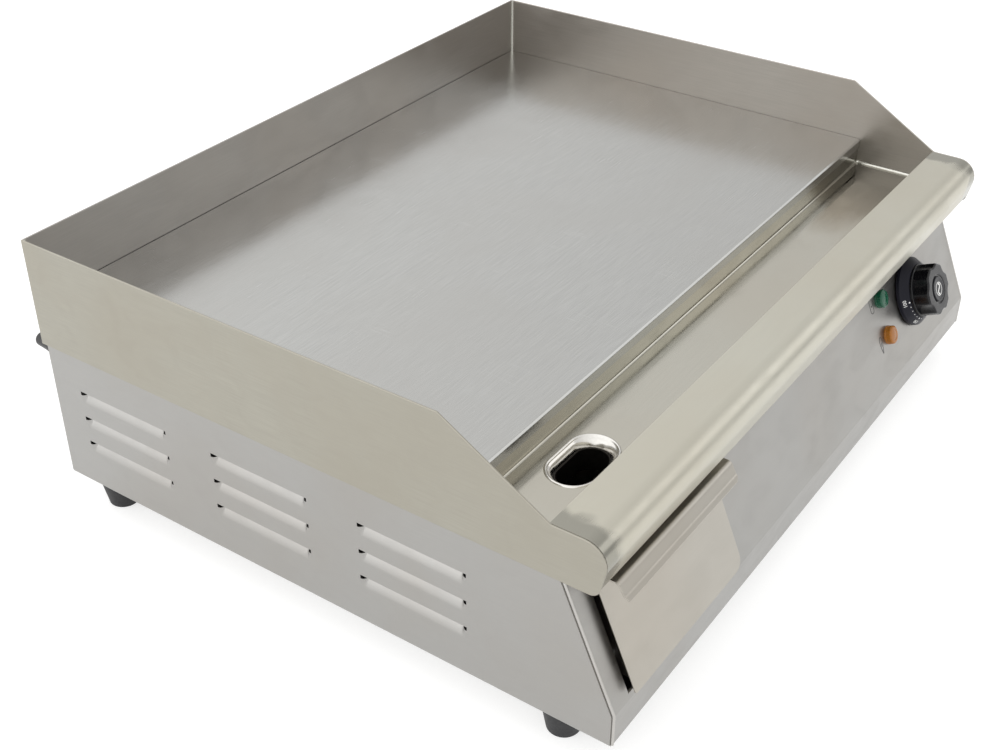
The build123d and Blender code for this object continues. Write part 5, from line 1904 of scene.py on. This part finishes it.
@dataclass(frozen=True)
class CordGland:
    """Mains cord gland: thread, ribbed collar and tapering nose, turned about Y."""

    x: float = -259.5
    height: float = 117.0
    depth: float = 3.9
    bore: float = 3.8
    ribs: int = 16
    rib_height: float = 0.02
    ribbed_run: tuple[float, float] = (5.0, 14.0)
    steps: int = 128
    thread: tuple[tuple[float, float], ...] = ((6.0, -6.0), (6.0, 0.0))
    collar: tuple[tuple[float, float], ...] = (
        (7.5, 0.1), (7.6, 0.4), (7.6, 3.2), (7.3, 3.6), (6.6, 4.5), (6.6, 5.2), (6.2, 13.4), (5.9, 14.4))
    nose: tuple[tuple[float, float], ...] = (
        (5.4, 19.0), (4.9, 25.4), (4.7, 26.2), (4.3, 26.8))

    def build(self) -> list[Piece]:
        """Makes the gland.

        Returns:
            The gland.
        """
        rows = np.array([(self.bore, self.thread[0][1]), *self.thread, *self.collar, *self.nose,
                         (self.bore, self.nose[-1][1])])
        angle = np.arange(self.steps) / self.steps * TURN
        start, stop = self.ribbed_run
        ribbed = (rows[:, 1] > start) & (rows[:, 1] < stop)
        swell = 1.0 + self.rib_height * ribbed[:, None] * np.sign(np.cos(self.ribs * angle))[None]
        body = turned(rows, self.steps, True, swell)
        behind = np.stack([body.points[:, 0], body.points[:, 2], -body.points[:, 1]], -1)
        body.points = behind + (self.x, at_depth(self.depth), self.height)
        return [Piece("mains_gland", body, SLOT_FINISHES["gland_black"], Body.GRIDDLE,
                      "gland_black", ("cable_gland",))]


class CarriedNodes:
    """CAD nodes that are shown as they are: each gets its slot's finish, or its own."""

    FINISH_BY_NODE = {"front_panel": PANEL_STEEL, "back_panel": PANEL_STEEL, "base_plate": PANEL_STEEL}
    SLOT_BY_NODE = {
        "grease_trough": "trough_steel", "front_panel": "casing_steel", "back_panel": "casing_steel",
        "base_plate": "galvanised", "drawer_tray": "drawer_steel", "drawer_runner_left": "galvanised",
        "drawer_runner_right": "galvanised", "heat_shield": "galvanised",
        "plate_support_left": "galvanised", "plate_support_right": "galvanised",
        "thermostat_shaft": "zinc_fasteners", "thermostat_body": "bakelite",
        "thermostat_bulb": "copper_bulb", "thermostat_capillary": "copper_bulb",
        "limit_thermostat": "bakelite", "limit_bulb": "copper_bulb",
        "green_lamp_body": "lamp_holder", "amber_lamp_body": "lamp_holder",
        "element_beads": "ceramic_white", "insulation_blanket": "insulation",
        "terminal_block": "ceramic_white", "terminal_screws": "brass_parts",
        "earth_stud": "brass_parts", "wiring_loom": "wire_sleeve", "gland_locknut": "gland_black",
        "heating_element_1": "element_sheath", "heating_element_2": "element_sheath",
        "heating_element_3": "element_sheath", "clamp_bars": "galvanised",
    }

    def dress(self) -> int:
        """Gives every shown CAD node its finish.

        Returns:
            How many nodes were dressed.
        """
        dressed = 0
        for name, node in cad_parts.items():
            if node.hide_render:
                continue
            slot = self.SLOT_BY_NODE.get(name, "zinc_fasteners")
            finish = self.FINISH_BY_NODE.get(name, SLOT_FINISHES[slot])
            node.data.materials.clear()
            node.data.materials.append(material_of(finish))
            dressed += 1
        return dressed


# ------------------------------------------------------------------ studio
@dataclass(frozen=True)
class Softbox:
    """Large rectangular lamp aimed at the griddle."""

    name: str
    place: tuple[float, float, float]
    size: tuple[float, float]
    glow: float
    mirrored: bool = False
    aim: tuple[float, float, float] = (0.0, 0.0, 0.1)

    def build(self) -> bpy.types.Object:
        """Makes the lamp.

        Returns:
            The lamp's object.
        """
        data = bpy.data.lights.new(self.name, "AREA")
        data.shape = "RECTANGLE"
        data.size, data.size_y = self.size
        data.energy = math.pi * self.size[0] * self.size[1] * self.glow
        lamp = bpy.data.objects.new(self.name, data)
        lamp.location = self.place
        lamp.visible_glossy = self.mirrored
        lamp.rotation_euler = (Vector(self.aim) - Vector(self.place)).to_track_quat("-Z", "Y").to_euler()
        bpy.context.scene.collection.objects.link(lamp)
        return lamp


@dataclass(frozen=True)
class Studio:
    """Pale floor, soft light from all round with large lamps, and the camera."""

    light_from: tuple[float, float, float] = (-0.80, 0.55, 0.20)
    dimmest: float = 0.66
    brightest: float = 1.65
    floor_tone: Colour = (0.42, 0.42, 0.418)
    floor_glow: float = 0.66
    floor_light: tuple[float, float, float, float] = (1.0, 1.0, 0.995, 1.0)
    floor_size: float = 9.0
    camera_place: tuple[float, float, float] = (-0.751229, BACK_FACE_Y * METRES - 0.696397, 0.633820)
    yaw: float = 0.967003
    pitch: float = -0.591394
    roll: float = 0.002907
    lens: float = 50.893
    sensor: float = 36.0

    SPECKS: ClassVar[Pattern] = Pattern(180.0)
    SPECK_SHADE: ClassVar[float] = 0.99
    SPECK_GLOSS: ClassVar[tuple[float, float]] = (0.75, 0.85)
    softboxes: tuple[Softbox, ...] = (
        Softbox("window_softbox", (-2.2, 1.4, 2.0), (2.4, 1.8), 0.5),
        Softbox("ceiling_softbox", (0.2, -0.3, 2.8), (2.4, 2.4), 0.35),
        Softbox("side_softbox", (-2.55, 1.3, 0.6), (2.6, 1.0), 0.45, True),
        Softbox("front_softbox", (1.9, -1.6, 1.35), (1.7, 1.0), 0.75, True),
    )

    def build(self) -> None:
        """Makes the world, floor, lamps and camera."""
        bpy.context.scene.view_settings.view_transform = "Standard"
        self.make_world()
        self.make_floor()
        for softbox in self.softboxes:
            softbox.build()
        self.make_camera()

    def make_world(self) -> None:
        """Lights the scene from all round: strength grows with the direction's share of light_from."""
        world = bpy.data.worlds.new("soft_room")
        bpy.context.scene.world = world
        world.use_nodes = True
        tree = world.node_tree
        place = tree.nodes.new("ShaderNodeTexCoord")
        share = tree.nodes.new("ShaderNodeVectorMath")
        share.operation = "DOT_PRODUCT"
        share.inputs[1].default_value = Vector(self.light_from).normalized()
        strength = tree.nodes.new("ShaderNodeMapRange")
        for name, number in zip(("From Min", "From Max", "To Min", "To Max"),
                                (-1.0, 1.0, self.dimmest, self.brightest)):
            strength.inputs[name].default_value = number
        tree.links.new(place.outputs["Generated"], share.inputs[0])
        tree.links.new(share.outputs["Value"], strength.inputs["Value"])
        background = tree.nodes["Background"]
        background.inputs["Color"].default_value = (1.0, 1.0, 1.0, 1.0)
        tree.links.new(strength.outputs["Result"], background.inputs["Strength"])

    def make_floor(self) -> None:
        """Makes the pale floor."""
        half = self.floor_size / 2
        mesh = bpy.data.meshes.new("studio_floor")
        mesh.from_pydata([(-half, -half, 0.0), (half, -half, 0.0), (half, half, 0.0), (-half, half, 0.0)],
                         [], [(0, 1, 2, 3)])
        floor = bpy.data.objects.new("studio_floor", mesh)
        shader = Shader("pale_floor")
        shader.set(Metallic=0.0, Emission_Strength=self.floor_glow, Emission_Color=self.floor_light)
        speck = shader.noise(shader.place, self.SPECKS)
        colour = shader.mix(shader.span(speck, MOST, WHOLE),
                            self.floor_tone, shade(self.floor_tone, self.SPECK_SHADE))
        shader.feed(colour, shader.span(speck, MOST, self.SPECK_GLOSS))
        mesh.materials.append(shader.material)
        bpy.context.scene.collection.objects.link(floor)

    def make_camera(self) -> None:
        """Places the camera from its position, heading, tilt and roll."""
        data = bpy.data.cameras.new("camera")
        data.lens = self.lens
        data.sensor_width = self.sensor
        camera = bpy.data.objects.new("camera", data)
        ahead = Vector((math.sin(self.yaw) * math.cos(self.pitch),
                        math.cos(self.yaw) * math.cos(self.pitch), math.sin(self.pitch)))
        turn = ahead.to_track_quat("-Z", "Y").to_matrix().to_4x4() @ Matrix.Rotation(self.roll, 4, "Z")
        camera.matrix_world = Matrix.Translation(self.camera_place) @ turn
        bpy.context.scene.collection.objects.link(camera)
        bpy.context.scene.camera = camera


def main() -> None:
    """Builds the griddle's looks in order, dresses the carried nodes and sets up the studio."""
    logging.basicConfig(level=logging.INFO, format="%(name)s %(message)s")
    assemblies = (SplashGuard(), HandRail(), CookingPlate(), GreaseTrough(), Casing(), GreaseDrawer(),
                  ThermostatKnob(), IndicatorLamps(), Feet(), CordGland())
    for assembly in assemblies:
        for piece in assembly.build():
            piece.make()
    LOG.info("dressed %d CAD nodes", CarriedNodes().dress())
    Studio().build()


if __name__ == "__main__":
    main()
